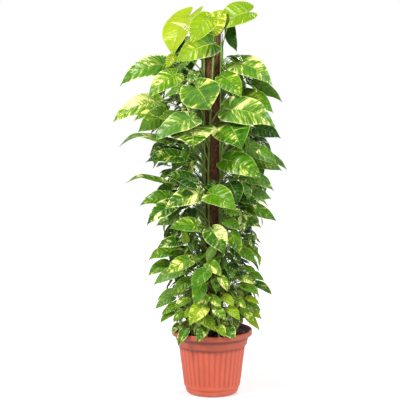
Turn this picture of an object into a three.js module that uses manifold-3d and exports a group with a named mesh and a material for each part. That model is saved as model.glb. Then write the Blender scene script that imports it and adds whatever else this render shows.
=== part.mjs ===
// A variegated golden pothos that climbs a coir pole in a fluted plastic pot.
// Millimetres, +Z up. The origin is the middle of the pot's base, and -Y is the plant's front.

import * as THREE from 'three';
import { mergeVertices } from 'three/addons/utils/BufferGeometryUtils.js';
import Module from 'manifold-3d';

const wasm = await Module();
wasm.setup();

// ---------------------------------------------------------------- driving dimensions

const GAP = 0.3; // between pieces that touch

const POT = {
  height: 240,
  lip: 150, // outer radius of the lip
  lipDrop: 18, // height of the lip's upright side
  collar: 136.5, // radius of the collar under the lip
  collarTop: 212,
  collarFoot: 131.5,
  collarBottom: 190,
  body: 124.5, // radius of the fluted wall at its top
  bodyTop: 180,
  bodyFoot: 105,
  bodyBottom: 27,
  foot: 99,
  base: 84, // radius of the flat that the pot rests on
  floor: 5,
  wall: 3,
  flutes: 36,
  fluteDepth: 3,
};

const SOIL = { edge: 221, crown: 227, sides: 30 }; // height of its surface at the wall and at the pole
const POLE = { radius: 30, core: 14, top: 1347, coreTop: 1341, sides: 20 };
const STEM = { radius: 3.8, hole: 5.4, around: 37, bury: 60, step: 105 };
const DRAIN = { count: 4, radius: 6, at: 52 };

// A climbing stem sways round the pole by its degrees over a wave length, and its tip leans away.
const SWAY = { wave: 170, shift: 0.9, start: 45, over: 120 };
const LEAN = { below: 60, bend: 0.0006 };

// Where an onlooker's eye stands before the plant: the front leaves are laid out as they look from there.
const EYE = { distance: 4600, height: 1237 };

// Climbing stems round the pole: [azimuth in degrees from the front towards +X, height of the tip, sway].
const VINES = [
  [-8, 1354, 15], [52, 1345, 5], [78, 1290, 4], [104, 1335, 3], [129, 1240, 3], [154, 1350, 3],
  [179, 1300, 3], [204, 1340, 3], [229, 1270, 3], [254, 1350, 3], [281, 1345, 4], [309, 1356, 5],
];

// Young stems in the soil round them: [azimuth, radius from the pole, height of the tip, lean outwards].
const SHOOTS = [
  [-62, 84, 365, 20], [-36, 96, 345, 16], [-12, 92, 385, 22], [14, 98, 350, 16], [38, 90, 375, 20],
  [64, 86, 360, 18], [98, 88, 380, 24], [134, 84, 350, 22], [172, 92, 375, 20], [208, 84, 355, 24],
  [240, 92, 370, 20], [272, 86, 360, 22],
];

// Leaves of the front, each as it looks from the eye, in millimetres on the pole's plane:
// [base across, base up, tip across, tip up, width, base forward, tip forward, turn about the rib, fold, lobes].
// Turn is in degrees, fold is the rise of the halves over their width, lobes is their reach over the length.
const FRONT_LEAVES = [
  // the crown over the top of the pole
  [-88, 1394, -143, 1255, 168, 20, 60, 44, 0.35, 0.36],
  [-68, 1335, -118, 1374, 18, 116, 122, 40, 1.2, 0.02],
  [-74, 1326, -152, 1376, 16, 128, 132, 40, 1.2, 0.02],
  [-46, 1339, -56, 1414, 62, -20, -30, 10, 0.2, 0.12],
  [-6, 1352, 50, 1424, 76, 45, 30, 20, 0.2, 0.16],
  [-14, 1391, -80, 1300, 84, 120, 140, 0, 0.15, 0.2],
  [131, 1413, 24, 1350, 122, 60, 45, 20, 0.35, 0.22],
  [62, 1360, 90, 1270, 52, 10, 20, 40, 0.2, 0.14],
  [4, 1300, -137, 1231, 92, 100, 118, -10, 0.25, 0.1],
  [-98, 1321, -139, 1257, 46, 40, 50, 20, 0.3, 0.14],
  [-83, 1321, -96, 1283, 26, 75, 78, 0, 0.2, 0.12],
  // upper storey
  [86, 1230, 221, 1157, 95, 90, 120, -10, 0.15, 0.2],
  [143, 1172, 259, 1094, 80, 50, 70, 68, 0.15, 0.14],
  [-173, 1226, -341, 1153, 88, 60, 50, 2, 0.2, 0.16],
  [-143, 1254, -169, 1209, 36, 80, 85, 0, 0.2, 0.12],
  [-137, 1185, -236, 1105, 86, 100, 120, 10, 0.15, 0.18],
  [-56, 1136, -11, 1058, 152, 200, 210, -8, 0.1, 0.4],
  [-83, 1135, -180, 1101, 62, 150, 165, 30, 0.2, 0.15],
  [-206, 1086, -366, 1017, 82, 60, 40, 0, 0.25, 0.16],
  [-180, 1049, -291, 1017, 70, 100, 100, 30, 0.2, 0.14],
  [-174, 1045, -274, 978, 76, 130, 140, -35, 0.1, 0.14],
  [-173, 1040, -92, 997, 72, 120, 140, -30, 0.1, 0.14],
  [-77, 1025, -214, 941, 92, 160, 185, 15, 0.15, 0.18],
  [-75, 993, -68, 919, 172, 170, 285, 0, 0.08, 0.2],
  [54, 1010, 109, 919, 146, 170, 230, 0, 0.12, 0.24],
  [60, 1060, 233, 1006, 112, 130, 130, 0, 0.2, 0.18],
  [116, 1109, 225, 1053, 76, 80, 90, 0, 0.25, 0.16],
  [41, 1179, 109, 1105, 78, 120, 150, 0, 0.15, 0.2],
  [158, 993, 253, 958, 60, 60, 70, 20, 0.25, 0.14],
  // middle storey
  [-169, 941, -345, 930, 57, 60, 40, 40, 0.35, 0.14],
  [-122, 900, -236, 893, 51, 80, 90, 25, 0.35, 0.14],
  [-122, 885, -248, 867, 62, 120, 130, 10, 0.3, 0.16],
  [-176, 789, -323, 789, 42, 70, 60, 40, 0.35, 0.14],
  [-68, 789, -176, 815, 62, 150, 150, 10, 0.3, 0.16],
  [-143, 778, -214, 748, 38, 50, 50, 10, 0.3, 0.14],
  [53, 872, 184, 805, 93, 160, 205, 0, 0.22, 0.2],
  [120, 923, 240, 854, 57, 90, 100, 10, 0.3, 0.14],
  [169, 915, 236, 867, 38, 135, 140, 0, 0.3, 0.14],
  [150, 874, 259, 833, 51, 60, 60, 20, 0.3, 0.14],
  [188, 897, 278, 841, 31, 30, 30, 20, 0.4, 0.12],
  [128, 811, 229, 764, 54, 115, 120, 0, 0.3, 0.16],
  [71, 778, 94, 711, 77, 165, 200, 0, 0.22, 0.3],
  [-11, 781, 34, 755, 43, 130, 150, 0, 0.25, 0.2],
  [-4, 748, 90, 688, 87, 200, 255, 0, 0.22, 0.22],
  [-154, 733, -270, 707, 59, 80, 70, 10, 0.3, 0.16],
  [-49, 748, -180, 692, 71, 175, 190, 0, 0.25, 0.18],
  [-150, 707, -244, 632, 62, 130, 140, 0, 0.25, 0.18],
  [-128, 658, -210, 629, 46, 100, 105, 150, 0.25, 0.14],
  [-58, 629, -163, 618, 59, 180, 185, 10, 0.3, 0.16],
  [120, 748, 221, 729, 54, 90, 95, 10, 0.3, 0.16],
  [105, 733, 180, 703, 38, 140, 145, 0, 0.3, 0.16],
  [131, 699, 240, 645, 51, 90, 95, 10, 0.3, 0.16],
  [56, 688, 116, 666, 34, 165, 170, 10, 0.3, 0.16],
  [94, 655, 184, 625, 51, 130, 140, 0, 0.3, 0.16],
  [53, 647, 105, 610, 43, 165, 175, 0, 0.3, 0.18],
  // lower storey
  [0, 610, 45, 525, 84, 205, 250, 0, 0.2, 0.24],
  [-98, 565, -109, 618, 27, 150, 165, 10, 0.6, 0.05],
  [-128, 569, -206, 547, 43, 125, 130, 0, 0.3, 0.16],
  [-143, 536, -240, 500, 51, 100, 105, 10, 0.3, 0.16],
  [71, 595, 105, 521, 51, 155, 175, 0, 0.3, 0.2],
  [113, 532, 161, 491, 43, 130, 140, 0, 0.3, 0.18],
  [116, 558, 180, 510, 27, 80, 85, 20, 0.4, 0.1],
  [4, 543, -19, 487, 36, 160, 165, 150, 0.2, 0.16],
  [-169, 487, -240, 439, 46, 80, 85, 0, 0.3, 0.16],
  [-173, 528, -236, 502, 30, 50, 50, 10, 0.3, 0.14],
  [-86, 499, -171, 446, 54, 170, 180, 0, 0.25, 0.18],
  [-114, 461, -221, 402, 51, 135, 140, 10, 0.3, 0.16],
  [-24, 454, -80, 394, 54, 200, 215, 0, 0.22, 0.2],
  [-86, 424, -150, 365, 43, 150, 160, 0, 0.25, 0.18],
  [-41, 402, -64, 331, 51, 185, 205, 0, 0.2, 0.24],
  [-15, 487, 38, 439, 46, 180, 190, 0, 0.25, 0.2],
  [34, 432, 56, 383, 33, 165, 175, 0, 0.25, 0.2],
  [116, 432, 161, 409, 29, 130, 135, 0, 0.3, 0.16],
  [116, 406, 176, 368, 33, 115, 120, 0, 0.3, 0.16],
  [165, 413, 225, 368, 30, 60, 60, 0, 0.35, 0.12],
  [128, 469, 165, 454, 24, 110, 115, 0, 0.3, 0.14],
  [143, 450, 195, 420, 29, 80, 80, 0, 0.3, 0.14],
  // the low fringe over the rim
  [-150, 361, -214, 313, 38, 90, 95, 0, 0.3, 0.16],
  [-146, 383, -206, 346, 30, 60, 60, 0, 0.3, 0.14],
  [-94, 353, -139, 316, 34, 155, 160, 0, 0.25, 0.18],
  [-135, 327, -191, 290, 30, 110, 115, 0, 0.3, 0.16],
  [-150, 305, -195, 262, 29, 70, 75, 0, 0.3, 0.14],
  [-34, 324, -86, 253, 62, 175, 205, 0, 0.2, 0.2],
  [-30, 279, 13, 231, 43, 160, 172, 0, 0.22, 0.2],
  [-98, 236, -128, 175, 36, 124, 135, 0, 0.4, 0.14],
  [-26, 242, -58, 186, 41, 158, 172, 0, 0.25, 0.2],
  [26, 246, 49, 208, 33, 158, 168, 0, 0.25, 0.18],
  [53, 242, 86, 199, 49, 150, 164, 0, 0.25, 0.2],
  [131, 357, 180, 331, 24, 80, 85, 0, 0.35, 0.12],
  [135, 335, 184, 309, 24, 60, 65, 0, 0.35, 0.12],
  [139, 305, 188, 275, 27, 50, 60, 0, 0.35, 0.12],
  [135, 279, 180, 231, 24, 80, 85, 0, 0.35, 0.12],
  [0, 357, 34, 316, 34, 175, 185, 0, 0.22, 0.2],
  [45, 361, 83, 324, 34, 155, 165, 0, 0.25, 0.2],
  [90, 353, 128, 313, 30, 130, 140, 0, 0.25, 0.18],
  [15, 313, 53, 272, 36, 180, 190, 0, 0.22, 0.2],
  [64, 316, 105, 272, 36, 155, 165, 0, 0.22, 0.2],
  [113, 313, 158, 264, 33, 115, 125, 0, 0.25, 0.18],
  [-19, 361, -45, 320, 30, 160, 165, 0, 0.25, 0.18],
  [-71, 313, -105, 279, 33, 160, 170, 0, 0.25, 0.18],
  [-113, 301, -146, 264, 30, 130, 140, 0, 0.25, 0.18],
];

// How far from the pole the leaves of the sides and back may reach, and how long they are: [height, size].
const CROWN = [
  [240, 178], [420, 185], [640, 205], [800, 222], [1000, 238], [1150, 222], [1260, 190], [1460, 150],
];
const LENGTHS = [[260, 50], [450, 64], [650, 86], [850, 106], [1050, 128], [1250, 148], [1400, 140]];
// Those leaves stay behind the front ones, the less far forward the higher, and leave the pole's front bare.
const SCREEN = {
  half: 150,
  middle: [[240, 92], [700, 85], [950, 60], [1120, 10], [1460, -10]],
  sides: [[240, 130], [800, 120], [1000, 80], [1150, 30], [1460, 0]],
  ceiling: 1415,
  bareHalf: 48,
  bareFrom: 560,
};
const CLIMBING = { pitch: 62, first: 60, last: 80 }; // between leaf nodes, below the first, above the last
const YOUNG = { pitch: 26, first: 16, last: 16 };
const YOUNG_TOP = 440; // leaves with a base under this height grow from the young stems
const STALK = { slope: 0.55, flatSlope: 0.2, rise: 0.22, highRise: 0.34, into: 0.2, from: 0.3 };

// ---------------------------------------------------------------- small helpers

const radians = THREE.MathUtils.degToRad;
const up = new THREE.Vector3(0, 0, 1);

/** A seeded draw from 0 to 1, the same on each run. */
function randomFrom(seed) {
  let state = (seed * 7919 + 104729) % 2147483647;
  const next = () => {
    state = (state * 16807) % 2147483647;
    return state / 2147483647;
  };
  next();
  next();
  return next;
}

/** The value at x of a table of [x, value] rows, straight between them. */
function lookUp(table, x) {
  let value = table[0][1];
  for (let i = 1; i < table.length; i++) {
    const [x0, v0] = table[i - 1];
    const [x1, v1] = table[i];
    const t = Math.min(1, Math.max(0, (x - x0) / (x1 - x0)));
    value += (v1 - v0) * t;
  }
  return value;
}

/** The horizontal direction at an azimuth counted from the front (-Y) towards +X. */
function outward(azimuth) {
  return new THREE.Vector3(Math.sin(radians(azimuth)), -Math.cos(radians(azimuth)), 0);
}

/** The point at a depth before the pole's plane that the eye sees at (across, up) of that plane. */
function seen(across, height, forward) {
  const nearer = 1 - forward / EYE.distance;
  return new THREE.Vector3(across * nearer, -forward, EYE.height + (height - EYE.height) * nearer);
}

function solidOf(geometry) {
  geometry.deleteAttribute('normal');
  geometry.deleteAttribute('uv');
  const merged = mergeVertices(geometry, 1e-4);
  return new wasm.Manifold(new wasm.Mesh({
    numProp: 3,
    vertProperties: new Float32Array(merged.attributes.position.array),
    triVerts: new Uint32Array(merged.index.array),
  }));
}

function geometryOf(solid) {
  const mesh = solid.getMesh();
  const geometry = new THREE.BufferGeometry();
  geometry.setAttribute('position', new THREE.BufferAttribute(mesh.vertProperties, 3));
  geometry.setIndex(new THREE.BufferAttribute(mesh.triVerts, 1));
  return geometry;
}

function joined(solids) {
  let pieces = solids;
  while (pieces.length > 1) {
    const next = [];
    for (let i = 0; i < pieces.length; i += 2) {
      next.push(i + 1 < pieces.length ? pieces[i].add(pieces[i + 1]) : pieces[i]);
    }
    pieces = next;
  }
  return pieces[0];
}

/** A closed skin over rings, each of the same, double or half the count of the one before it. */
function loft(rings) {
  const starts = [];
  const points = [];
  for (const ring of rings) {
    starts.push(points.length);
    points.push(...ring);
  }
  const faces = [];
  for (let r = 0; r + 1 < rings.length; r++) {
    const [low, high] = [rings[r].length, rings[r + 1].length];
    const count = Math.min(low, high);
    const lower = (i) => starts[r] + (i % low);
    const upper = (i) => starts[r + 1] + (i % high);
    for (let i = 0; i < count; i++) {
      if (low === high) {
        faces.push(lower(i), lower(i + 1), upper(i + 1), lower(i), upper(i + 1), upper(i));
      } else if (low < high) {
        const middle = upper(2 * i + 1);
        faces.push(lower(i), lower(i + 1), middle, lower(i), middle, upper(2 * i));
        faces.push(lower(i + 1), upper(2 * i + 2), middle);
      } else {
        const middle = lower(2 * i + 1);
        faces.push(upper(i + 1), upper(i), middle, upper(i), lower(2 * i), middle);
        faces.push(upper(i + 1), middle, lower(2 * i + 2));
      }
    }
  }
  const first = points.push([0, 0, rings[0][0][2]]) - 1;
  const last = points.push([0, 0, rings.at(-1)[0][2]]) - 1;
  rings[0].forEach((_, i) => faces.push(first, (i + 1) % rings[0].length, i));
  const top = rings.at(-1).length;
  rings.at(-1).forEach((_, i) => faces.push(last, starts.at(-1) + i, starts.at(-1) + ((i + 1) % top)));
  const geometry = new THREE.BufferGeometry();
  geometry.setAttribute('position', new THREE.Float32BufferAttribute(points.flat(), 3));
  geometry.setIndex(faces);
  return geometry;
}

/** A closed tube along a curve, with a section of few sides. */
function tube(curve, radius, sides, steps) {
  const section = new THREE.Shape();
  for (let i = 0; i < sides; i++) {
    const angle = (i / sides) * 2 * Math.PI;
    const point = [radius * Math.cos(angle), radius * Math.sin(angle)];
    if (i) section.lineTo(...point);
    else section.moveTo(...point);
  }
  section.closePath();
  return new THREE.ExtrudeGeometry(section, { steps, extrudePath: curve, bevelEnabled: false });
}

// ---------------------------------------------------------------- pot, soil and pole

/** One level of the pot. A fluted one has twice the points, and every other one sinks in. */
function potRing(radius, height, flute = 0) {
  const count = POT.flutes * (flute ? 2 : 1);
  return Array.from({ length: count }, (_, i) => {
    const angle = (i / count) * 2 * Math.PI;
    const r = radius - (i % 2 && flute ? flute : 0);
    return [r * Math.cos(angle), r * Math.sin(angle), height];
  });
}

/** The inner wall from the floor up, as [radius, height]. The soil follows it. */
const innerWall = [
  [POT.base + 4, POT.floor],
  [POT.bodyFoot - POT.wall - POT.fluteDepth, POT.bodyBottom + 6],
  [POT.body - POT.wall - POT.fluteDepth, POT.bodyTop],
  [POT.collar - POT.wall - 4, POT.collarTop],
  [POT.lip - POT.wall - 3, POT.height - 4],
];

function makePot() {
  const p = POT;
  const outer = [
    potRing(p.base, 0),
    potRing(p.foot - 5, 3),
    potRing(p.foot, 11),
    potRing(p.foot + 1, p.bodyBottom - 5),
    potRing(p.bodyFoot, p.bodyBottom),
    potRing(p.bodyFoot + 1, p.bodyBottom + 7),
    potRing(p.bodyFoot + 1.5, p.bodyBottom + 11, p.fluteDepth),
    potRing(p.body, p.bodyTop, p.fluteDepth),
    potRing(p.collarFoot, p.collarBottom),
    potRing(p.collar, p.collarTop),
    potRing(p.lip, p.height - p.lipDrop),
    potRing(p.lip, p.height - 2),
    potRing(p.lip - 2, p.height),
    potRing(p.lip - 5, p.height),
  ];
  const inner = innerWall.map(([radius, height]) => potRing(radius, height)).reverse();
  const shell = solidOf(loft([...outer, ...inner]));
  const holes = [];
  for (let i = 0; i < DRAIN.count; i++) {
    const hole = new THREE.CylinderGeometry(DRAIN.radius, DRAIN.radius, 4 * POT.floor, 8);
    hole.rotateX(Math.PI / 2);
    const way = outward(45 + (i * 360) / DRAIN.count);
    hole.translate(way.x * DRAIN.at, way.y * DRAIN.at, 0);
    holes.push(solidOf(hole));
  }
  return shell.subtract(joined(holes));
}

/** The soil fills the pot round the pole, with a plain hole for each stem. */
function makeSoil(stems) {
  const clear = GAP + 0.2;
  const bore = POLE.radius + 0.6;
  const [rimInside, wallTop] = [innerWall[4], innerWall[3]];
  const share = (SOIL.edge - wallTop[1]) / (rimInside[1] - wallTop[1]);
  const edge = wallTop[0] + (rimInside[0] - wallTop[0]) * share - clear;
  const profile = [
    [bore, POT.floor + GAP],
    [innerWall[0][0] - clear, POT.floor + GAP],
    [innerWall[1][0] - clear, innerWall[1][1]],
    [innerWall[2][0] - clear, innerWall[2][1]],
    [wallTop[0] - clear, wallTop[1]],
    [edge, SOIL.edge],
    [bore, SOIL.crown],
    [bore, POT.floor + GAP],
  ];
  const ring = new THREE.LatheGeometry(profile.map(([r, z]) => new THREE.Vector2(r, z)), SOIL.sides);
  ring.rotateX(Math.PI / 2);
  const holes = stems.map((stem) => {
    const hole = new THREE.CylinderGeometry(STEM.hole, STEM.hole, STEM.bury + 40, 6);
    hole.rotateX(Math.PI / 2);
    const foot = stem.at(SOIL.edge - STEM.bury);
    hole.translate(foot.x, foot.y, SOIL.edge - STEM.bury - 1 + (STEM.bury + 40) / 2);
    return solidOf(hole);
  });
  return solidOf(ring).subtract(joined(holes));
}

/** The coir sleeve, a tube round its stake. */
function makeSleeve() {
  const bore = POLE.core + GAP + 0.2;
  const foot = POT.floor + GAP;
  const profile = [
    [bore, foot],
    [POLE.radius, foot],
    [POLE.radius, POLE.top - 4],
    [POLE.radius - 3, POLE.top],
    [bore, POLE.top],
    [bore, foot],
  ];
  const sleeve = new THREE.LatheGeometry(profile.map(([r, z]) => new THREE.Vector2(r, z)), POLE.sides);
  sleeve.rotateX(Math.PI / 2);
  return solidOf(sleeve);
}

function makeStake() {
  const foot = POT.floor + GAP;
  const stake = new THREE.CylinderGeometry(POLE.core, POLE.core, POLE.coreTop - foot, 16);
  stake.rotateX(Math.PI / 2);
  stake.translate(0, 0, (POLE.coreTop + foot) / 2);
  return solidOf(stake);
}

// ---------------------------------------------------------------- stems

/** A stem that climbs the pole: at(height) is a point of its middle line. */
function climbingStem([azimuth, tip, degrees], index) {
  const at = (height) => {
    const sway = degrees * Math.min(1, Math.max(0, (height - SOIL.crown - SWAY.start) / SWAY.over));
    const angle = azimuth + sway * Math.sin(height / SWAY.wave + index * SWAY.shift);
    const leave = LEAN.bend * Math.max(0, height - POLE.top + LEAN.below) ** 2;
    const point = outward(angle).multiplyScalar(STEM.around + leave);
    point.z = height;
    return point;
  };
  return { name: `vine_${String(index + 1).padStart(2, '0')}`, azimuth, tip, at, shoot: false };
}

/** A young stem that leans out of the soil. */
function youngStem([azimuth, radius, tip, lean], index) {
  const at = (height) => {
    const rise = Math.max(0, (height - SOIL.crown - 6) / (tip - SOIL.crown - 6));
    const point = outward(azimuth).multiplyScalar(radius + lean * rise * rise);
    point.z = height;
    return point;
  };
  return { name: `shoot_${String(index + 1).padStart(2, '0')}`, azimuth, tip, at, shoot: true };
}

/** Points of a stem's middle line: straight in its hole, then in even steps to the tip. */
function stemLine(stem) {
  const surface = SOIL.crown + 4;
  const steps = Math.max(2, Math.round((stem.tip - surface) / STEM.step));
  const rise = (stem.tip - surface) / steps;
  const above = Array.from({ length: steps + 1 }, (_, i) => stem.at(surface + rise * i));
  return [stem.at(SOIL.edge - STEM.bury), ...above];
}

// ---------------------------------------------------------------- leaves

// Half an outline from the notch to the tip as [along, across], and the rib's inner points. Along is
// in blade lengths, across in half widths. Faces name the points in the order notch, side, tip, ribs.
const LARGE_BLADE = {
  side: [[-1, 0.42], [-0.35, 0.82], [0.2, 1], [0.54, 0.8], [0.83, 0.36]],
  ribs: [0.33, 0.66],
  faces: [[0, 7, 1], [1, 7, 2], [2, 7, 3], [7, 8, 3], [3, 8, 4], [4, 8, 5], [5, 8, 6]],
};
const SMALL_BLADE = {
  side: [[-1, 0.5], [0.2, 1], [0.68, 0.62]],
  ribs: [0.42],
  faces: [[0, 5, 1], [1, 5, 2], [2, 5, 3], [3, 5, 4]],
};
const SMALL_SPAN = 186; // blades of less length and width together take the small outline
const THICKNESS = 1.8; // of a blade at its rib
const SCRAP = 0.1; // slivers under this size, left where a stalk enters its stem, are taken up
const GUARD = 4.6; // free room kept over and under each blade
const BOW = 0.05; // how far a rib arches up between its ends, over its length

const isSmall = (leaf) => leaf.length + leaf.width < SMALL_SPAN;

/** A leaf from the base and tip of its rib, with the frame of its blade. */
function makeLeaf(base, tip, facing, shape) {
  const along = tip.clone().sub(base);
  const length = along.length();
  along.normalize();
  const normal = facing.clone().addScaledVector(along, -facing.dot(along)).normalize();
  normal.applyAxisAngle(along, radians(shape.turn));
  const across = normal.clone().cross(along);
  const high = up.clone().addScaledVector(along, -along.z);
  return { base, along, across, normal, high, length, bow: BOW, ...shape };
}

/** A point of the blade's middle face: u runs along the rib, s from edge to edge. */
function bladePoint(leaf, u, s, lift) {
  const half = leaf.width / 2;
  const hump = leaf.length * 4 * u * (1 - u);
  const arch = leaf.arch * hump;
  const halves = half * (leaf.fold * Math.abs(s) - leaf.curl * s * s);
  const twist = leaf.twist * u * s * half;
  return leaf.base.clone()
    .addScaledVector(leaf.along, u * leaf.length)
    .addScaledVector(leaf.across, s * half)
    .addScaledVector(leaf.high, leaf.bow * hump)
    .addScaledVector(leaf.normal, arch + halves + twist + lift);
}

/** The blade's points as [u, s], in the order notch, right side, tip, left side, ribs, and its faces. */
function bladeNet(leaf) {
  const blade = isSmall(leaf) ? SMALL_BLADE : LARGE_BLADE;
  const count = blade.side.length;
  const side = blade.side.map(([u, s]) => [u < 0 ? -u * -leaf.lobes : u, s]);
  const points = [[0, 0], ...side, [1, 0]];
  for (let i = count - 1; i >= 0; i--) points.push([side[i][0], -side[i][1]]);
  const firstRib = points.length;
  for (const u of blade.ribs) points.push([u, 0]);
  const faces = [];
  for (const face of blade.faces) {
    const right = face.map((i) => (i > count + 1 ? i - count - 2 + firstRib : i));
    const left = face.map((i) => (i > count + 1 ? i - count - 2 + firstRib : (firstRib - i) % firstRib));
    faces.push(right, left.reverse());
  }
  return { points, faces, firstRib };
}

/** The stalk's curve, from the middle of the stem over an arch to the blade's notch. */
function stalkCurve(leaf) {
  const start = leaf.stem.at(leaf.attach);
  const span = start.distanceTo(leaf.base);
  const early = start.clone().lerp(leaf.base, STALK.from).addScaledVector(up, leaf.rise * span);
  const late = leaf.base.clone().addScaledVector(leaf.along, -STALK.into * span);
  return new THREE.CubicBezierCurve3(start, early, late, leaf.base);
}

/** The stalk's rings of three points, right, top and left, from the stem to the notch. */
function stalkRings(leaf) {
  const steps = stalkSteps(leaf);
  const points = stalkCurve(leaf).getPoints(steps);
  let side = leaf.across;
  const rings = [];
  for (let i = steps; i >= 0; i--) {
    const way = leaf.along.clone();
    if (i < steps) way.copy(points[i + 1]).sub(points[Math.max(0, i - 1)]).normalize();
    side = side.clone().addScaledVector(way, -side.dot(way)).normalize();
    const over = way.clone().cross(side);
    const place = (right, above) => points[i].clone()
      .addScaledVector(side, right * stalkRadius(leaf))
      .addScaledVector(over, above * stalkRadius(leaf));
    rings.unshift([place(0.87, -0.5), place(0, 1), place(-0.87, -0.5)]);
  }
  return rings;
}

/** The stalk and its blade in one skin. The blade is a lens: its two faces share the outline and stand
 * apart at the rib, and the stalk's last ring opens into its notch. */
function leafSolid(leaf) {
  const { points, faces, firstRib } = bladeNet(leaf);
  const ribs = points.length - firstRib;
  const vertices = points.map(([u, s], i) => bladePoint(leaf, u, s, i < firstRib ? 0 : THICKNESS / 2));
  for (let i = firstRib; i < points.length; i++) {
    vertices.push(bladePoint(leaf, ...points[i], -THICKNESS / 2));
  }
  const rings = stalkRings(leaf);
  const ringStart = vertices.length;
  vertices.push(...rings.flat());
  const [right, top, left] = [0, 1, 2].map((k) => ringStart + (rings.length - 1) * 3 + k);
  const index = [];
  for (const face of faces) {
    const onRight = face.some((i) => i > 0 && i < firstRib / 2);
    index.push(...face.map((i) => i || top));
    const below = face.map((i) => (i < firstRib ? i : i + ribs)).reverse();
    index.push(...below.map((i) => i || (onRight ? right : left)));
  }
  index.push(top, 1, right, top, left, firstRib - 1, right, firstRib + ribs, left);
  for (let ring = 0; ring + 1 < rings.length; ring++) {
    for (let k = 0; k < 3; k++) {
      const a = ringStart + ring * 3 + k;
      const b = ringStart + ring * 3 + ((k + 1) % 3);
      index.push(a, b, b + 3, a, b + 3, a + 3);
    }
  }
  index.push(ringStart + 2, ringStart + 1, ringStart);
  const geometry = new THREE.BufferGeometry();
  geometry.setAttribute('position', new THREE.Float32BufferAttribute(vertices.flatMap((v) => v.toArray()), 3));
  geometry.setIndex(index);
  return solidOf(geometry);
}

const stalkSteps = (leaf) => (isSmall(leaf) ? 2 : 3);
const stalkRadius = (leaf) => 0.8 + leaf.length * 0.012;

// ---------------------------------------------------------------- keeping leaves clear of each other

const minus = (a, b) => [a[0] - b[0], a[1] - b[1], a[2] - b[2]];
const cross = (a, b) => [a[1] * b[2] - a[2] * b[1], a[2] * b[0] - a[0] * b[2], a[0] * b[1] - a[1] * b[0]];
const dot = (a, b) => a[0] * b[0] + a[1] * b[1] + a[2] * b[2];

function segmentMeetsTriangle([p, q], [a, b, c]) {
  const way = minus(q, p);
  const ab = minus(b, a);
  const ac = minus(c, a);
  const h = cross(way, ac);
  const scale = dot(ab, h);
  if (Math.abs(scale) < 1e-9) return false;
  const s = minus(p, a);
  const u = dot(s, h) / scale;
  if (u < 0 || u > 1) return false;
  const k = cross(s, ab);
  const v = dot(way, k) / scale;
  if (v < 0 || u + v > 1) return false;
  const t = dot(ac, k) / scale;
  return t >= 0 && t <= 1;
}

function segmentsDistance([p, q], [a, b]) {
  const d1 = minus(q, p);
  const d2 = minus(b, a);
  const r = minus(p, a);
  const [aa, ee, ff, bb, cc] = [dot(d1, d1), dot(d2, d2), dot(d2, r), dot(d1, d2), dot(d1, r)];
  const scale = aa * ee - bb * bb;
  const clamp = (x) => Math.min(1, Math.max(0, x));
  let s = scale > 1e-9 ? clamp((bb * ff - cc * ee) / scale) : 0;
  const t = clamp((bb * s + ff) / ee);
  s = clamp((bb * t - cc) / aa);
  const gap = r.map((value, i) => value + d1[i] * s - d2[i] * t);
  return Math.sqrt(dot(gap, gap));
}

const segmentsOf = (line) => line.slice(1).map((point, i) => [line[i], point]);

/** What the crossing tests read of a leaf: its edges, its faces with free room, its stalk and its box. */
function outlineOf(leaf) {
  const { points, faces } = bladeNet(leaf);
  const layer = (lift) => points.map(([u, s]) => bladePoint(leaf, u, s, lift).toArray());
  const middle = layer(0);
  const layers = [middle, layer(GUARD), layer(-GUARD)];
  const sides = new Set(faces.flatMap(([a, b, c]) => [[a, b], [b, c], [c, a]])
    .map(([a, b]) => Math.min(a, b) * 100 + Math.max(a, b)));
  const edges = [...sides].map((key) => [middle[Math.floor(key / 100)], middle[key % 100]]);
  const triangles = layers.flatMap((vertices) => faces.map((face) => face.map((i) => vertices[i])));
  const stalk = stalkCurve(leaf).getPoints(stalkSteps(leaf)).map((point) => point.toArray());
  return { middle, edges, triangles, stalk: segmentsOf(stalk), box: boxOf([...layers.flat(), ...stalk]) };
}

function boxOf(points) {
  const low = [0, 1, 2].map((k) => Math.min(...points.map((point) => point[k])) - GUARD);
  const high = [0, 1, 2].map((k) => Math.max(...points.map((point) => point[k])) + GUARD);
  return [low, high];
}

const apart = ([low, high], [otherLow, otherHigh]) =>
  [0, 1, 2].some((k) => high[k] < otherLow[k] || otherHigh[k] < low[k]);

const boxOfSegment = ([p, q]) => boxOf([p, q]);

/** Whether a thin round line comes within a distance of a blade. */
function lineMeetsBlade(line, radius, outline) {
  const near = line.filter((segment) => !apart(boxOfSegment(segment), outline.box));
  return near.some((segment) => outline.triangles.some((triangle) => segmentMeetsTriangle(segment, triangle))
    || outline.edges.some((edge) => segmentsDistance(segment, edge) < radius));
}

function linesMeet(line, other, distance) {
  return line.some((segment) => other.some((second) => segmentsDistance(segment, second) < distance));
}

function leavesMeet(a, b) {
  if (apart(a.outline.box, b.outline.box)) return false;
  const cuts = (one, two) => one.outline.edges.some(
    (edge) => two.outline.triangles.some((face) => segmentMeetsTriangle(edge, face)),
  );
  if (cuts(a, b) || cuts(b, a)) return true;
  const room = 3;
  if (lineMeetsBlade(a.outline.stalk, room, b.outline)) return true;
  if (lineMeetsBlade(b.outline.stalk, room, a.outline)) return true;
  return a.stem !== b.stem && linesMeet(a.outline.stalk, b.outline.stalk, 5);
}

/** Whether a point lies in, or nearly in, the pot's wall, the soil or the pole. */
function inHolder([x, y, z]) {
  const r = Math.hypot(x, y);
  const nearLip = r > POT.lip - 12 && r < POT.lip + 4 && z < POT.height + 4;
  const underLip = r < POT.lip + 4 && z < SOIL.crown + 3;
  const nearPole = r < POLE.radius + 2.6 && z < POLE.top + 4;
  return nearLip || underLip || nearPole;
}

function meetsHolder(leaf) {
  const { edges, stalk, middle } = leaf.outline;
  const along = ([p, q]) => [0.25, 0.5, 0.75].map((t) => p.map((value, k) => value + (q[k] - value) * t));
  return [...middle, ...edges.flatMap(along), ...stalk.flatMap(along)].some(inHolder);
}

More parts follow.
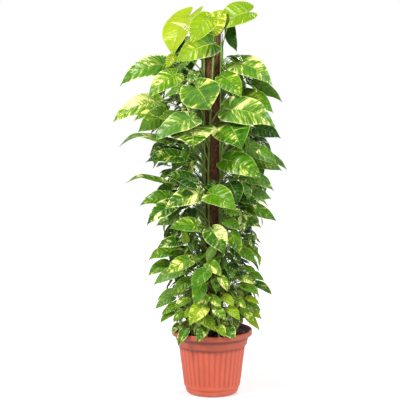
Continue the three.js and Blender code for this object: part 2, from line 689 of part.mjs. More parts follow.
function fits(leaf, leaves, stems) {
  if (meetsHolder(leaf)) return false;
  for (const stem of stems) {
    if (lineMeetsBlade(stem.line, STEM.radius + 1.5, leaf.outline)) return false;
    if (stem !== leaf.stem && linesMeet(stem.line, leaf.outline.stalk, STEM.radius + 3)) return false;
  }
  return !leaves.some((other) => leavesMeet(leaf, other));
}

// ---------------------------------------------------------------- placing the leaves

const DEPTH_TRIES = [0, 12, -12, 24, -24, 36, -36, 50, -50];
const NODE_TRIES = 14;

/** The stems that could carry a leaf with its base at a point, the nearest first. */
function carriers(base, stems) {
  const young = base.z < YOUNG_TOP;
  const reach = (stem) => {
    const foot = stem.at(Math.min(stem.tip, Math.max(SOIL.crown, base.z - 40)));
    return Math.hypot(base.x - foot.x, base.y - foot.y);
  };
  return stems
    .filter((stem) => stem.shoot === young && stem.tip > base.z - 230)
    .sort((a, b) => reach(a) - reach(b))
    .slice(0, 3);
}

function attachHeight(stem, base, slope) {
  const foot = stem.at(Math.min(stem.tip, base.z));
  const run = Math.hypot(base.x - foot.x, base.y - foot.y);
  const lowest = SOIL.crown + 12;
  return Math.min(stem.tip - 6, Math.max(lowest, base.z - slope * run));
}

/** A front leaf at its n-th try: deeper or less deep, then from another stem. */
function frontLeaf(row, index, attempt, stems) {
  const [baseX, baseZ, tipX, tipZ, width, baseOut, tipOut, turn, fold, lobes] = row;
  const shift = DEPTH_TRIES[attempt % DEPTH_TRIES.length];
  const random = randomFrom(index + 1);
  const base = seen(baseX, baseZ, baseOut + shift);
  const tip = seen(tipX, tipZ, tipOut + shift);
  const shape = {
    width, turn, fold, lobes,
    arch: 0.05 + 0.06 * random(),
    curl: 0.06 + fold * 0.25 + 0.12 * random(),
    twist: 0.3 * (random() - 0.5),
  };
  const leaf = makeLeaf(base, tip, new THREE.Vector3(0, -1, 0.5), shape);
  const choice = Math.floor(attempt / DEPTH_TRIES.length);
  const candidates = carriers(base, stems);
  leaf.stem = candidates[choice % candidates.length];
  leaf.attach = attachHeight(leaf.stem, base, choice < 3 ? STALK.slope : STALK.flatSlope);
  leaf.rise = choice < 3 ? STALK.rise : STALK.highRise;
  return leaf;
}

/** A leaf of the sides, back or inside, on a node of a stem. */
function nodeLeaf(stem, index, attempt, inner) {
  const random = randomFrom(index * 61 + attempt * 7 + (inner ? 5000 : 0));
  const between = (low, high) => low + (high - low) * random();
  const { pitch, first } = stem.shoot ? YOUNG : CLIMBING;
  const attach = SOIL.crown + first + (index % 100) * pitch + between(-0.3, 0.3) * pitch;
  const side = index % 2 ? 1 : -1;
  const azimuth = stem.azimuth + side * between(4, 52);
  const shrink = 1 - 0.03 * attempt;
  const length = lookUp(LENGTHS, attach + 40) * between(0.8, 1.15) * shrink;
  const edge = lookUp(CROWN, attach + 40) - (inner ? 80 : 0) * between(0.6, 1);
  const drop = radians(between(12, 78));
  const swing = azimuth + between(-35, 35);
  const way = outward(swing).multiplyScalar(Math.cos(drop)).addScaledVector(up, -Math.sin(drop));
  const run = Math.max(inner ? 22 : 34, edge - length * Math.cos(drop) - STEM.around) * between(0.72, 1);
  const base = outward(azimuth).multiplyScalar(STEM.around + run);
  if (stem.shoot) base.copy(stem.at(attach)).setZ(0).addScaledVector(outward(azimuth), between(14, 46));
  base.z = attach + run * between(0.35, 0.75) + (stem.shoot ? between(0, 20) : 0);
  const tip = base.clone().addScaledVector(way, length);
  const facing = outward(swing).addScaledVector(up, 0.7);
  const leaf = makeLeaf(base, tip, facing, {
    width: length * between(0.58, 0.78),
    turn: between(-34, 34),
    fold: between(0.1, 0.36),
    lobes: between(0.14, 0.22),
    arch: between(0.04, 0.11),
    curl: between(0.1, 0.25),
    twist: between(-0.2, 0.2),
  });
  leaf.stem = stem;
  leaf.attach = attach;
  leaf.rise = between(0.12, 0.3);
  return leaf;
}

/** Whether a leaf stays inside the crown and behind the front leaves. */
function staysInCrown(leaf) {
  return leaf.outline.middle.every(([x, y, z]) => {
    const front = lookUp(Math.abs(x) < SCREEN.half ? SCREEN.middle : SCREEN.sides, z);
    const bares = z < SCREEN.bareFrom || y > 0 || Math.abs(x) > SCREEN.bareHalf;
    return Math.hypot(x, y) < lookUp(CROWN, z) && -y < front && z < SCREEN.ceiling && bares;
  });
}

function placeLeaves(stems) {
  const leaves = [];
  const settle = (makers) => {
    for (const make of makers) {
      const leaf = make();
      leaf.outline = outlineOf(leaf);
      if (fits(leaf, leaves, stems) && (leaf.front || staysInCrown(leaf))) {
        leaves.push(leaf);
        return true;
      }
    }
    return false;
  };
  const tries = (count, make) => Array.from({ length: count }, (_, attempt) => () => make(attempt));
  FRONT_LEAVES.forEach((row, index) => {
    const tryFront = (attempt) => ({ ...frontLeaf(row, index, attempt, stems), front: true });
    settle(tries(DEPTH_TRIES.length * 6, tryFront));
  });
  for (const inner of [false, true]) {
    for (const [order, stem] of stems.entries()) {
      const { pitch, last } = stem.shoot ? YOUNG : CLIMBING;
      const nodes = Math.floor((stem.tip - SOIL.crown - last) / pitch);
      for (let node = 0; node < nodes; node += inner ? 3 : 1) {
        const tryNode = (attempt) => nodeLeaf(stem, (order + 1) * 100 + node, attempt, inner);
        settle(tries(NODE_TRIES, tryNode));
      }
    }
  }
  return leaves;
}

/** A stem with its stalks and blades, fused into one body. */
function makePlant(stem, leaves) {
  const curve = new THREE.CatmullRomCurve3(stem.line.map(([p]) => new THREE.Vector3(...p))
    .concat(new THREE.Vector3(...stem.line.at(-1)[1])));
  const pieces = [solidOf(tube(curve, STEM.radius, 4, stem.line.length))];
  for (const leaf of leaves) {
    pieces.push(leafSolid(leaf));
  }
  return solidOf(geometryOf(joined(pieces))).simplify(SCRAP);
}

// ---------------------------------------------------------------- the whole plant

const MATERIALS = {
  pot: new THREE.MeshStandardMaterial({ color: 0xe1735a, roughness: 0.45, metalness: 0 }),
  soil: new THREE.MeshStandardMaterial({ color: 0x2d190f, roughness: 0.95, metalness: 0 }),
  coir: new THREE.MeshStandardMaterial({ color: 0x643c2d, roughness: 0.95, metalness: 0 }),
  stake: new THREE.MeshStandardMaterial({ color: 0xb08a5c, roughness: 0.7, metalness: 0 }),
  foliage: new THREE.MeshStandardMaterial({ color: 0x5d9b2a, roughness: 0.3, metalness: 0 }),
};

const group = new THREE.Group();

function addPiece(name, solid, material) {
  const mesh = new THREE.Mesh(geometryOf(solid), material);
  mesh.name = name;
  group.add(mesh);
}

const stems = [...VINES.map(climbingStem), ...SHOOTS.map(youngStem)];
for (const stem of stems) stem.line = segmentsOf(stemLine(stem).map((point) => point.toArray()));

const leaves = placeLeaves(stems);

addPiece('pot', makePot(), MATERIALS.pot);
addPiece('soil', makeSoil(stems), MATERIALS.soil);
addPiece('coir_pole', makeSleeve(), MATERIALS.coir);
addPiece('pole_stake', makeStake(), MATERIALS.stake);
for (const stem of stems) {
  addPiece(stem.name, makePlant(stem, leaves.filter((leaf) => leaf.stem === stem)), MATERIALS.foliage);
}

export default group;
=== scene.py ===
"""A golden pothos on its coir pole in a fluted pot: the looks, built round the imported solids.

The leaves stand where the solids' leaves stand. Each stem's leaves are worked out by the rule that placed
them, with the same seeded draws, and a draw counts when its outline is found in that stem's solid.
Lengths are in millimetres until a mesh is made, and x is to the right, y to the back and z up.
"""

import math

import bmesh
import bpy
import numpy as np
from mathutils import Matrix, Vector, bvhtree, kdtree


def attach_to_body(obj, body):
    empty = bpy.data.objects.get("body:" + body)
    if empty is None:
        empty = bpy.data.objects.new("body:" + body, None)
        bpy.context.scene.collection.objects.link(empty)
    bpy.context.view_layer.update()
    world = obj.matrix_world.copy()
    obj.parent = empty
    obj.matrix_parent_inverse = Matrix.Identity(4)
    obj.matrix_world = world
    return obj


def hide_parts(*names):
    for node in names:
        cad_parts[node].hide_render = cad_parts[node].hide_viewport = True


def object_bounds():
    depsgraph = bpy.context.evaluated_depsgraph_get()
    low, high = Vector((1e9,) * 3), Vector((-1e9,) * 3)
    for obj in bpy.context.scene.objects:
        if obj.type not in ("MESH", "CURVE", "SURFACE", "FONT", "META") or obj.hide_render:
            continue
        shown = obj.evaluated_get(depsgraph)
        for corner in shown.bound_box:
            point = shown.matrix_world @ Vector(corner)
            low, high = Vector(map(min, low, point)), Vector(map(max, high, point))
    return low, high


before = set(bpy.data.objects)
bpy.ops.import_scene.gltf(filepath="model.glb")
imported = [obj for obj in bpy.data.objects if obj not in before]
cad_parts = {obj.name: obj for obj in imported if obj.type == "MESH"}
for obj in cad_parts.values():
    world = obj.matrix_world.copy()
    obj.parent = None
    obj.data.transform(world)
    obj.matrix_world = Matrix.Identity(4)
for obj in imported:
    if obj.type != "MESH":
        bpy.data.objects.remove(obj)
CAD_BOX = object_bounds()
MM = 0.001

# ---------------------------------------------------------------- sizes shared with the solids

POT_HEIGHT = 240
POT_LIP = 150
FLUTES = 36
SOIL_EDGE = 221
SOIL_CROWN = 227
POLE_RADIUS = 30
POLE_TOP = 1347
POT_FLOOR = 5.3
STEM_RADIUS = 3.8
STEM_AROUND = 37
STEM_BURY = 60
EYE_DISTANCE = 4600
EYE_HEIGHT = 1237

# Climbing stems: azimuth from the front towards +x, height of the tip, sway round the pole in degrees.
VINES = [
    (-8, 1354, 15), (52, 1345, 5), (78, 1290, 4), (104, 1335, 3), (129, 1240, 3), (154, 1350, 3),
    (179, 1300, 3), (204, 1340, 3), (229, 1270, 3), (254, 1350, 3), (281, 1345, 4), (309, 1356, 5),
]
# Young stems: azimuth, radius from the pole, height of the tip, lean outwards.
SHOOTS = [
    (-62, 84, 365, 20), (-36, 96, 345, 16), (-12, 92, 385, 22), (14, 98, 350, 16), (38, 90, 375, 20),
    (64, 86, 360, 18), (98, 88, 380, 24), (134, 84, 350, 22), (172, 92, 375, 20), (208, 84, 355, 24),
    (240, 92, 370, 20), (272, 86, 360, 22),
]

# Leaves of the front as they look from the eye, on the pole's plane:
# base across, base up, tip across, tip up, width, base forward, tip forward, turn, fold, lobes | look
FRONT_LEAVES = [
    # the crown over the top of the pole
    (-88, 1394, -143, 1255, 168, 20, 60, 44, 0.35, 0.36, "lime"),
    (-68, 1335, -118, 1374, 18, 116, 122, 40, 1.2, 0.02, "spear"),
    (-74, 1326, -152, 1376, 16, 128, 132, 40, 1.2, 0.02, "spear"),
    (-46, 1339, -56, 1414, 62, -20, -30, 10, 0.2, 0.12, "lime"),
    (-6, 1352, 50, 1424, 76, 45, 30, 20, 0.2, 0.16, "streaked"),
    (-14, 1391, -80, 1300, 84, 120, 140, 0, 0.15, 0.2, "fresh"),
    (131, 1413, 24, 1350, 122, 60, 45, 20, 0.35, 0.22, "ribbed"),
    (62, 1360, 90, 1270, 52, 10, 20, 40, 0.2, 0.14, "dark"),
    (4, 1300, -137, 1231, 92, 100, 118, -10, 0.25, 0.1, "ribbed_lit_tip"),
    (-98, 1321, -139, 1257, 46, 40, 50, 20, 0.3, 0.14, "dark"),
    (-83, 1321, -96, 1283, 26, 75, 78, 0, 0.2, 0.12, "white"),
    # upper storey
    (86, 1230, 221, 1157, 95, 90, 120, -10, 0.15, 0.2, "mid_streak"),
    (143, 1172, 259, 1094, 80, 50, 70, 68, 0.15, 0.14, "grey"),
    (-173, 1226, -341, 1153, 88, 60, 50, 2, 0.2, 0.16, "gloss_white_edge"),
    (-143, 1254, -169, 1209, 36, 80, 85, 0, 0.2, 0.12, "lime"),
    (-137, 1185, -236, 1105, 86, 100, 120, 10, 0.15, 0.18, "yellow_patch"),
    (-56, 1136, -11, 1058, 152, 200, 210, -8, 0.1, 0.4, "hero_streak"),
    (-83, 1135, -180, 1101, 62, 150, 165, 30, 0.2, 0.15, "gloss"),
    (-206, 1086, -366, 1017, 82, 60, 40, 0, 0.25, 0.16, "cream_heavy"),
    (-180, 1049, -291, 1017, 70, 100, 100, 30, 0.2, 0.14, "yellow_patch"),
    (-174, 1045, -274, 978, 76, 130, 140, -35, 0.1, 0.14, "olive"),
    (-173, 1040, -92, 997, 72, 120, 140, -30, 0.1, 0.14, "olive"),
    (-77, 1025, -214, 941, 92, 160, 185, 15, 0.15, 0.18, "gloss"),
    (-75, 993, -68, 919, 172, 170, 285, 0, 0.08, 0.2, "hero_cream"),
    (54, 1010, 109, 919, 146, 170, 230, 0, 0.12, 0.24, "hero_patch"),
    (60, 1060, 233, 1006, 112, 130, 130, 0, 0.2, 0.18, "mid_streak"),
    (116, 1109, 225, 1053, 76, 80, 90, 0, 0.25, 0.16, "mid"),
    (41, 1179, 109, 1105, 78, 120, 150, 0, 0.15, 0.2, "mid"),
    (158, 993, 253, 958, 60, 60, 70, 20, 0.25, 0.14, "dark"),
    # middle storey
    (-169, 941, -345, 930, 57, 60, 40, 40, 0.35, 0.14, "olive_cream"),
    (-122, 900, -236, 893, 51, 80, 90, 25, 0.35, 0.14, "dark"),
    (-122, 885, -248, 867, 62, 120, 130, 10, 0.3, 0.16, "dark_streak"),
    (-176, 789, -323, 789, 42, 70, 60, 40, 0.35, 0.14, "cream_patch"),
    (-68, 789, -176, 815, 62, 150, 150, 10, 0.3, 0.16, "dark"),
    (-143, 778, -214, 748, 38, 50, 50, 10, 0.3, 0.14, "olive"),
    (53, 872, 184, 805, 93, 160, 205, 0, 0.22, 0.2, "hero_mid"),
    (120, 923, 240, 854, 57, 90, 100, 10, 0.3, 0.14, "grey"),
    (169, 915, 236, 867, 38, 135, 140, 0, 0.3, 0.14, "cream_patch"),
    (150, 874, 259, 833, 51, 60, 60, 20, 0.3, 0.14, "olive"),
    (188, 897, 278, 841, 31, 30, 30, 20, 0.4, 0.12, "grey"),
    (128, 811, 229, 764, 54, 115, 120, 0, 0.3, 0.16, "gloss"),
    (71, 778, 94, 711, 77, 165, 200, 0, 0.22, 0.3, "dark"),
    (-11, 781, 34, 755, 43, 130, 150, 0, 0.25, 0.2, "dark"),
    (-4, 748, 90, 688, 87, 200, 255, 0, 0.22, 0.22, "hero_lobe"),
    (-154, 733, -270, 707, 59, 80, 70, 10, 0.3, 0.16, "mid"),
    (-49, 748, -180, 692, 71, 175, 190, 0, 0.25, 0.18, "hero_fan"),
    (-150, 707, -244, 632, 62, 130, 140, 0, 0.25, 0.18, "cream_edge"),
    (-128, 658, -210, 629, 46, 100, 105, 150, 0.25, 0.14, "olive_cream"),
    (-58, 629, -163, 618, 59, 180, 185, 10, 0.3, 0.16, "mid"),
    (120, 748, 221, 729, 54, 90, 95, 10, 0.3, 0.16, "grey"),
    (105, 733, 180, 703, 38, 140, 145, 0, 0.3, 0.16, "dark"),
    (131, 699, 240, 645, 51, 90, 95, 10, 0.3, 0.16, "mid"),
    (56, 688, 116, 666, 34, 165, 170, 10, 0.3, 0.16, "mid"),
    (94, 655, 184, 625, 51, 130, 140, 0, 0.3, 0.16, "dark_streak"),
    (53, 647, 105, 610, 43, 165, 175, 0, 0.3, 0.18, "mid"),
    # lower storey
    (0, 610, 45, 525, 84, 205, 250, 0, 0.2, 0.24, "hero_half"),
    (-98, 565, -109, 618, 27, 150, 165, 10, 0.6, 0.05, "spear_green"),
    (-128, 569, -206, 547, 43, 125, 130, 0, 0.3, 0.16, "cream_edge"),
    (-143, 536, -240, 500, 51, 100, 105, 10, 0.3, 0.16, "mid"),
    (71, 595, 105, 521, 51, 155, 175, 0, 0.3, 0.2, "mid"),
    (113, 532, 161, 491, 43, 130, 140, 0, 0.3, 0.18, "mid"),
    (116, 558, 180, 510, 27, 80, 85, 20, 0.4, 0.1, "mid"),
    (4, 543, -19, 487, 36, 160, 165, 150, 0.2, 0.16, "olive"),
    (-169, 487, -240, 439, 46, 80, 85, 0, 0.3, 0.16, "mid"),
    (-173, 528, -236, 502, 30, 50, 50, 10, 0.3, 0.14, "mid"),
    (-86, 499, -171, 446, 54, 170, 180, 0, 0.25, 0.18, "yellow_patch"),
    (-114, 461, -221, 402, 51, 135, 140, 10, 0.3, 0.16, "grey"),
    (-24, 454, -80, 394, 54, 200, 215, 0, 0.22, 0.2, "vivid"),
    (-86, 424, -150, 365, 43, 150, 160, 0, 0.25, 0.18, "olive"),
    (-41, 402, -64, 331, 51, 185, 205, 0, 0.2, 0.24, "vivid"),
    (-15, 487, 38, 439, 46, 180, 190, 0, 0.25, 0.2, "yellow_patch"),
    (34, 432, 56, 383, 33, 165, 175, 0, 0.25, 0.2, "cream_heavy"),
    (116, 432, 161, 409, 29, 130, 135, 0, 0.3, 0.16, "cream_heavy"),
    (116, 406, 176, 368, 33, 115, 120, 0, 0.3, 0.16, "mid"),
    (165, 413, 225, 368, 30, 60, 60, 0, 0.35, 0.12, "dark_streak"),
    (128, 469, 165, 454, 24, 110, 115, 0, 0.3, 0.14, "mid"),
    (143, 450, 195, 420, 29, 80, 80, 0, 0.3, 0.14, "mid"),
    # the low fringe over the rim
    (-150, 361, -214, 313, 38, 90, 95, 0, 0.3, 0.16, "grey"),
    (-146, 383, -206, 346, 30, 60, 60, 0, 0.3, 0.14, "grey"),
    (-94, 353, -139, 316, 34, 155, 160, 0, 0.25, 0.18, "yellow_patch"),
    (-135, 327, -191, 290, 30, 110, 115, 0, 0.3, 0.16, "mid"),
    (-150, 305, -195, 262, 29, 70, 75, 0, 0.3, 0.14, "mid"),
    (-34, 324, -86, 253, 62, 175, 205, 0, 0.2, 0.2, "hero_yellow"),
    (-30, 279, 13, 231, 43, 160, 172, 0, 0.22, 0.2, "vivid_edge"),
    (-98, 236, -128, 175, 36, 124, 135, 0, 0.4, 0.14, "cream_edge"),
    (-26, 242, -58, 186, 41, 158, 172, 0, 0.25, 0.2, "dark_streak"),
    (26, 246, 49, 208, 33, 158, 168, 0, 0.25, 0.18, "vivid_edge"),
    (53, 242, 86, 199, 49, 150, 164, 0, 0.25, 0.2, "cream_edge"),
    (131, 357, 180, 331, 24, 80, 85, 0, 0.35, 0.12, "fresh"),
    (135, 335, 184, 309, 24, 60, 65, 0, 0.35, 0.12, "mid"),
    (139, 305, 188, 275, 27, 50, 60, 0, 0.35, 0.12, "fresh"),
    (135, 279, 180, 231, 24, 80, 85, 0, 0.35, 0.12, "fresh"),
    (0, 357, 34, 316, 34, 175, 185, 0, 0.22, 0.2, "yellow_patch"),
    (45, 361, 83, 324, 34, 155, 165, 0, 0.25, 0.2, "fresh"),
    (90, 353, 128, 313, 30, 130, 140, 0, 0.25, 0.18, "yellow_patch"),
    (15, 313, 53, 272, 36, 180, 190, 0, 0.22, 0.2, "cream_patch"),
    (64, 316, 105, 272, 36, 155, 165, 0, 0.22, 0.2, "fresh"),
    (113, 313, 158, 264, 33, 115, 125, 0, 0.25, 0.18, "yellow_patch"),
    (-19, 361, -45, 320, 30, 160, 165, 0, 0.25, 0.18, "yellow_patch"),
    (-71, 313, -105, 279, 33, 160, 170, 0, 0.25, 0.18, "fresh"),
    (-113, 301, -146, 264, 30, 130, 140, 0, 0.25, 0.18, "yellow_patch"),
]

# What a leaf looks like: cream share, warmth of its cream, lime, tone from dark to light, paleness,
# and a mark that runs out along the side ribs: where along the blade, on which side, how wide.
# Some also have how pale the side ribs are, how lime the tip is, which is painted light on a lit tip, and a
# cream margin.
LOOKS = {
    # the crown's lime is partly its own colour and partly painted glow of light through its leaves
    "lime": (0.25, 1.0, 1.0, 0.7, 0.0, 0.5, 1, 0.1),
    "fresh": (0.3, 1.0, 0.45, 0.75, 0.0, 0.0, 0, 0.0),
    "spear": (1.0, 0.5, 0.5, 1.0, 0.0, 0.5, 0, 1.0, -0.25, 0, 0),
    "spear_green": (0.25, 0.5, 0.1, 1.0, 0.0, 0.5, 0, 0.0, 1.0, 0, 0.5),
    "white": (1.0, 0.0, 0.0, 0.9, 0.7, 0.5, -1, 1.0),
    "streaked": (0.6, 1.0, 0.6, 0.7, 0.0, 0.6, -1, 0.05),
    "ribbed": (0.25, 0.6, 0.35, 0.7, 0.0, 0.0, 0, 0.0, 0.7, 0, 0),
    "ribbed_lit_tip": (0.3, 0.9, 0.0, 0.35, 0.0, 0.0, 0, 0.0, 0.9, 1, 0),
    "dark": (0.2, 0.7, 0.0, 0.25, 0.0, 0.0, 0, 0.0),
    "dark_streak": (0.34, 0.6, 0.0, 0.3, 0.0, 0.6, 1, 0.08),
    "vivid": (0.3, 0.9, 0.0, 0.5, 0.0, 0.1, -1, 0.06),
    "vivid_edge": (0.4, 1.0, 0.15, 0.65, 0.0, 0.0, 0, 0.0, 0.1, 0, 0.6),
    "mid": (0.34, 0.8, 0.05, 0.55, 0.0, 0.0, 0, 0.0),
    "mid_streak": (0.46, 0.5, 0.05, 0.5, 0.15, 0.55, 1, 0.07, 0.4, 0, 0.2),
    "grey": (0.34, 0.2, 0.0, 0.6, 0.4, 0.0, 0, 0.0),
    "gloss": (0.44, 0.4, 0.0, 0.5, 0.3, 0.0, 0, 0.0, 0.3, 0, 0.2),
    "gloss_white_edge": (0.36, 0.35, 0.0, 0.5, 0.1, 0.55, -1, 0.1, 0.3, 0, 0.9),
    "yellow_patch": (0.46, 0.75, 0.1, 0.55, 0.0, 0.7, -1, 0.12),
    "cream_patch": (0.42, 0.4, 0.0, 0.55, 0.05, 0.35, -1, 0.2),
    "cream_edge": (0.3, 0.4, 0.0, 0.4, 0.0, 0.75, 1, 0.12, 0.1, 0, 1),
    "cream_heavy": (0.62, 0.55, 0.05, 0.6, 0.0, 0.6, -1, 0.3),
    "olive": (0.26, 0.9, 0.2, 0.4, 0.08, 0.0, 0, 0.0),
    "olive_cream": (0.4, 0.4, 0.1, 0.5, 0.3, 0.7, 1, 0.2),
    "hero_streak": (0.42, 0.8, 0.0, 0.38, 0.2, 0.42, 1, 0.09, 0.3, 0, 0.2),
    "hero_cream": (0.52, 0.45, 0.0, 0.4, 0.0, 0.7, 0, 0.06, 0.3, 0, 0.5),
    "hero_fan": (0.55, 0.6, 0.0, 0.4, 0.0, 0.5, 0, 0.05, 0.2, 0, 0.5),
    "hero_patch": (0.34, 0.6, 0.0, 0.4, 0.0, 0.4, -1, 0.2, 0.3, 0, 0.2),
    "hero_mid": (0.3, 0.6, 0.0, 0.52, 0.0, 0.7, -1, 0.05),
    "hero_lobe": (0.3, 0.6, 0.05, 0.65, 0.0, 0.16, -1, 0.14),
    "hero_half": (0.38, 0.35, 0.0, 0.35, 0.0, 0.5, 1, 0.4, 0.2, 0, 0.3),
    "hero_yellow": (0.46, 0.9, 0.4, 0.6, 0.0, 0.5, 1, 0.3),
}

# The crown's radius by height, and how long the leaves are by height.
CROWN = [(240, 178), (420, 185), (640, 205), (800, 222), (1000, 238), (1150, 222), (1260, 190), (1460, 150)]
LENGTHS = [(260, 50), (450, 64), (650, 86), (850, 106), (1050, 128), (1250, 148), (1400, 140)]
# How a front leaf may move forward or back, how many stalks and how many draws a leaf tries,
# how small a leaf is drawn with fewer corners, and how far its blade is bowed.
DEPTH_TRIES = [0, 12, -12, 24, -24, 36, -36, 50, -50]
STALK_TRIES = 6
NODE_TRIES = 14
SMALL_SPAN = 186
BOW = 0.05
# Nodes along a vine and along a shoot: how far apart, from the soil to the first, from the last to the tip.
VINE_NODES = (62, 60, 80)
SHOOT_NODES = (26, 16, 16)
# How near to a solid's corners a blade's corners and a stalk's side lie, and what share of the corners.
CORNER_NEAR = 0.4
STALK_NEAR = 0.5
CORNERS_FOUND = 0.7
# How much lighter the leaves are, by height: painted light that makes the low leaves and the crown brighter
# than the middle storey.
PAINTED_LIGHT_BY_HEIGHT = [(250, 0.25), (500, 0.15), (800, 0.03), (1150, 0.17), (1350, 0.12)]

# Young leaves that fill the crown between the others: height from and to, how many, length from and to.
YOUNG_LEAVES = [
    (246, 330, 90, 28, 44), (320, 450, 130, 30, 50), (450, 620, 150, 34, 60), (620, 820, 110, 44, 74),
    (820, 1040, 76, 52, 90), (1040, 1250, 50, 60, 104),
]
YOUNG_TRIES = 9
# The pieces that the young leaves make up: name, height from and to.
YOUNG_STOREYS = (("low", 0, 450), ("middle", 450, 820), ("high", 820, 2000))
# How near to the pole's middle the young leaves leave its front bare, and from which height up.
BARE_SIDE = 46
BARE_FROM = 560
# Leaves and young leaves below these heights grow from shoots, and a leaf's stem may end this far below it.
SHOOT_LEAVES = 440
SHOOT_YOUNG = 400
TIP_BELOW = 230
# The leaves below the first height and above the second have more cream.
LOW_LEAVES = 450
HIGH_LEAVES = 1000
# Where the seeded draws start.
LOOK_SEED = 7000
YOUNG_LOOK_SEED = 900
ROOT_SEED = 900
YOUNG_SEED = 77
FIBRE_SEED = 31
CRUMB_SEED = 12

# ---------------------------------------------------------------- the rule that places the leaves


def random_from(seed):
    """The solids' seeded draw from 0 to 1."""
    state = (seed * 7919 + 104729) % 2147483647

    def draw():
        nonlocal state
        state = state * 16807 % 2147483647
        return state / 2147483647

    draw()
    draw()
    return draw


def clamp(x):
    return min(1, max(0, x))


def look_up(table, x):
    """The value at x in a table of places and values, on straight lines."""
    value = table[0][1]
    for (x0, v0), (x1, v1) in zip(table, table[1:]):
        value += (v1 - v0) * clamp((x - x0) / (x1 - x0))
    return value


def outward(azimuth):
    """The level direction at an azimuth from the front towards +x."""
    a = math.radians(azimuth)
    return np.array([math.sin(a), -math.cos(a), 0.0])


def level_gap(a, b):
    return math.hypot(a[0] - b[0], a[1] - b[1])


def seen(across, height, forward):
    """The point that the eye sees at a place on the pole's plane, so far in front of that plane."""
    nearer = 1 - forward / EYE_DISTANCE
    return np.array([across * nearer, -forward, EYE_HEIGHT + (height - EYE_HEIGHT) * nearer])


def unit(v):
    return v / max(1e-9, math.sqrt(float(v @ v)))


class Stem:
    """A stem's middle line, by height."""

    def __init__(self, name, azimuth, tip, shoot, shape):
        self.name = name
        self.azimuth = azimuth
        self.tip = tip
        self.shoot = shoot
        self.shape = shape
        self.leaves = []

    def at(self, height):
        if self.shoot:
            radius, lean = self.shape
            rise = max(0, (height - SOIL_CROWN - 6) / (self.tip - SOIL_CROWN - 6))
            point = outward(self.azimuth) * (radius + lean * rise * rise)
        else:
            order, degrees = self.shape
            sway = degrees * clamp((height - SOIL_CROWN - 45) / 120)
            angle = self.azimuth + sway * math.sin(height / 170 + order * 0.9)
            leave = 0.0006 * max(0, height - POLE_TOP + 60) ** 2
            point = outward(angle) * (STEM_AROUND + leave)
        point[2] = height
        return point

    def beside(self, height):
        """The point at a height, or the tip where the stem ends below it."""
        return self.at(min(self.tip, height))


class Leaf:
    """A leaf from the base and tip of its rib, with the frame of its blade."""

    young = False
    look = None

    def __init__(self, base, tip, facing, shape):
        self.base = base
        self.length = math.sqrt(float((tip - base) @ (tip - base)))
        self.along = unit(tip - base)
        normal = unit(facing - self.along * float(facing @ self.along))
        turn = math.radians(shape["turn"])
        self.normal = normal * math.cos(turn) + np.cross(self.along, normal) * math.sin(turn)
        self.across = np.cross(self.normal, self.along)
        self.high = np.array([0, 0, 1]) - self.along * self.along[2]
        self.__dict__.update(shape)
        self.small = self.length + self.width < SMALL_SPAN

    def points(self, u, s, lift=0.0):
        """Points of the blade's middle face: u runs along the rib, s from edge to edge."""
        half = self.width / 2
        hump = self.length * 4 * u * (1 - u)
        bend = half * (self.fold * np.abs(s) - self.curl * s * s)
        rise = self.arch * hump + bend + self.twist * u * s * half + lift
        return (
            self.base
            + np.multiply.outer(u * self.length, self.along)
            + np.multiply.outer(s * half, self.across)
            + np.multiply.outer(BOW * hump, self.high)
            + np.multiply.outer(rise, self.normal)
        )

    def sides(self):
        """Points of the edge from the notch to the tip as (u, s)."""
        if self.small:
            return [(-self.lobes, 0.5), (0.2, 1.0), (0.68, 0.62)]
        return [(-self.lobes, 0.42), (-0.35 * self.lobes, 0.82), (0.2, 1.0), (0.54, 0.8), (0.83, 0.36)]

    def stalk(self, steps):
        start = self.stem.at(self.attach)
        span = math.sqrt(float((self.base - start) @ (self.base - start)))
        early = start + (self.base - start) * 0.3 + np.array([0, 0, self.rise * span])
        late = self.base - self.along * 0.2 * span
        t = np.linspace(0, 1, steps + 1)[:, None]
        k = 1 - t
        return k**3 * start + 3 * k * k * t * early + 3 * k * t * t * late + t**3 * self.base

    def stalk_radius(self):
        return 0.8 + self.length * 0.012


def carriers(base, stems):
    """The three stems that a leaf may grow from, the nearest first."""
    low = base[2] < SHOOT_LEAVES
    able = [stem for stem in stems if stem.shoot == low and stem.tip > base[2] - TIP_BELOW]
    return sorted(able, key=lambda stem: level_gap(base, stem.beside(max(SOIL_CROWN, base[2] - 40))))[:3]


def front_leaf(row, index, attempt, stems):
    """A leaf of FRONT_LEAVES. Later attempts move it forward or back and give it other stalks."""
    base_x, base_z, tip_x, tip_z, width, base_out, tip_out, turn, fold, lobes, look = row
    shift = DEPTH_TRIES[attempt % len(DEPTH_TRIES)]
    draw = random_from(index + 1)
    base = seen(base_x, base_z, base_out + shift)
    tip = seen(tip_x, tip_z, tip_out + shift)
    shape = {
        "width": width, "turn": turn, "fold": fold, "lobes": lobes, "look": look,
        "arch": 0.05 + 0.06 * draw(), "curl": 0.06 + fold * 0.25 + 0.12 * draw(),
        "twist": 0.3 * (draw() - 0.5),
    }
    leaf = Leaf(base, tip, np.array([0, -1, 0.5]), shape)
    choice = attempt // len(DEPTH_TRIES)
    able = carriers(base, stems)
    leaf.stem = able[choice % len(able)]
    run = level_gap(base, leaf.stem.beside(base[2]))
    slope = 0.55 if choice < 3 else 0.2
    leaf.attach = min(leaf.stem.tip - 6, max(SOIL_CROWN + 12, base[2] - slope * run))
    leaf.rise = 0.22 if choice < 3 else 0.34
    return leaf


def hanging_leaf(stem, base, swing, drop, length, shape):
    """A leaf that hangs outwards from its base, down by an angle."""
    way = outward(swing) * math.cos(drop) + np.array([0, 0, -math.sin(drop)])
    leaf = Leaf(base, base + way * length, outward(swing) + np.array([0, 0, 0.7]), shape)
    leaf.stem = stem
    return leaf


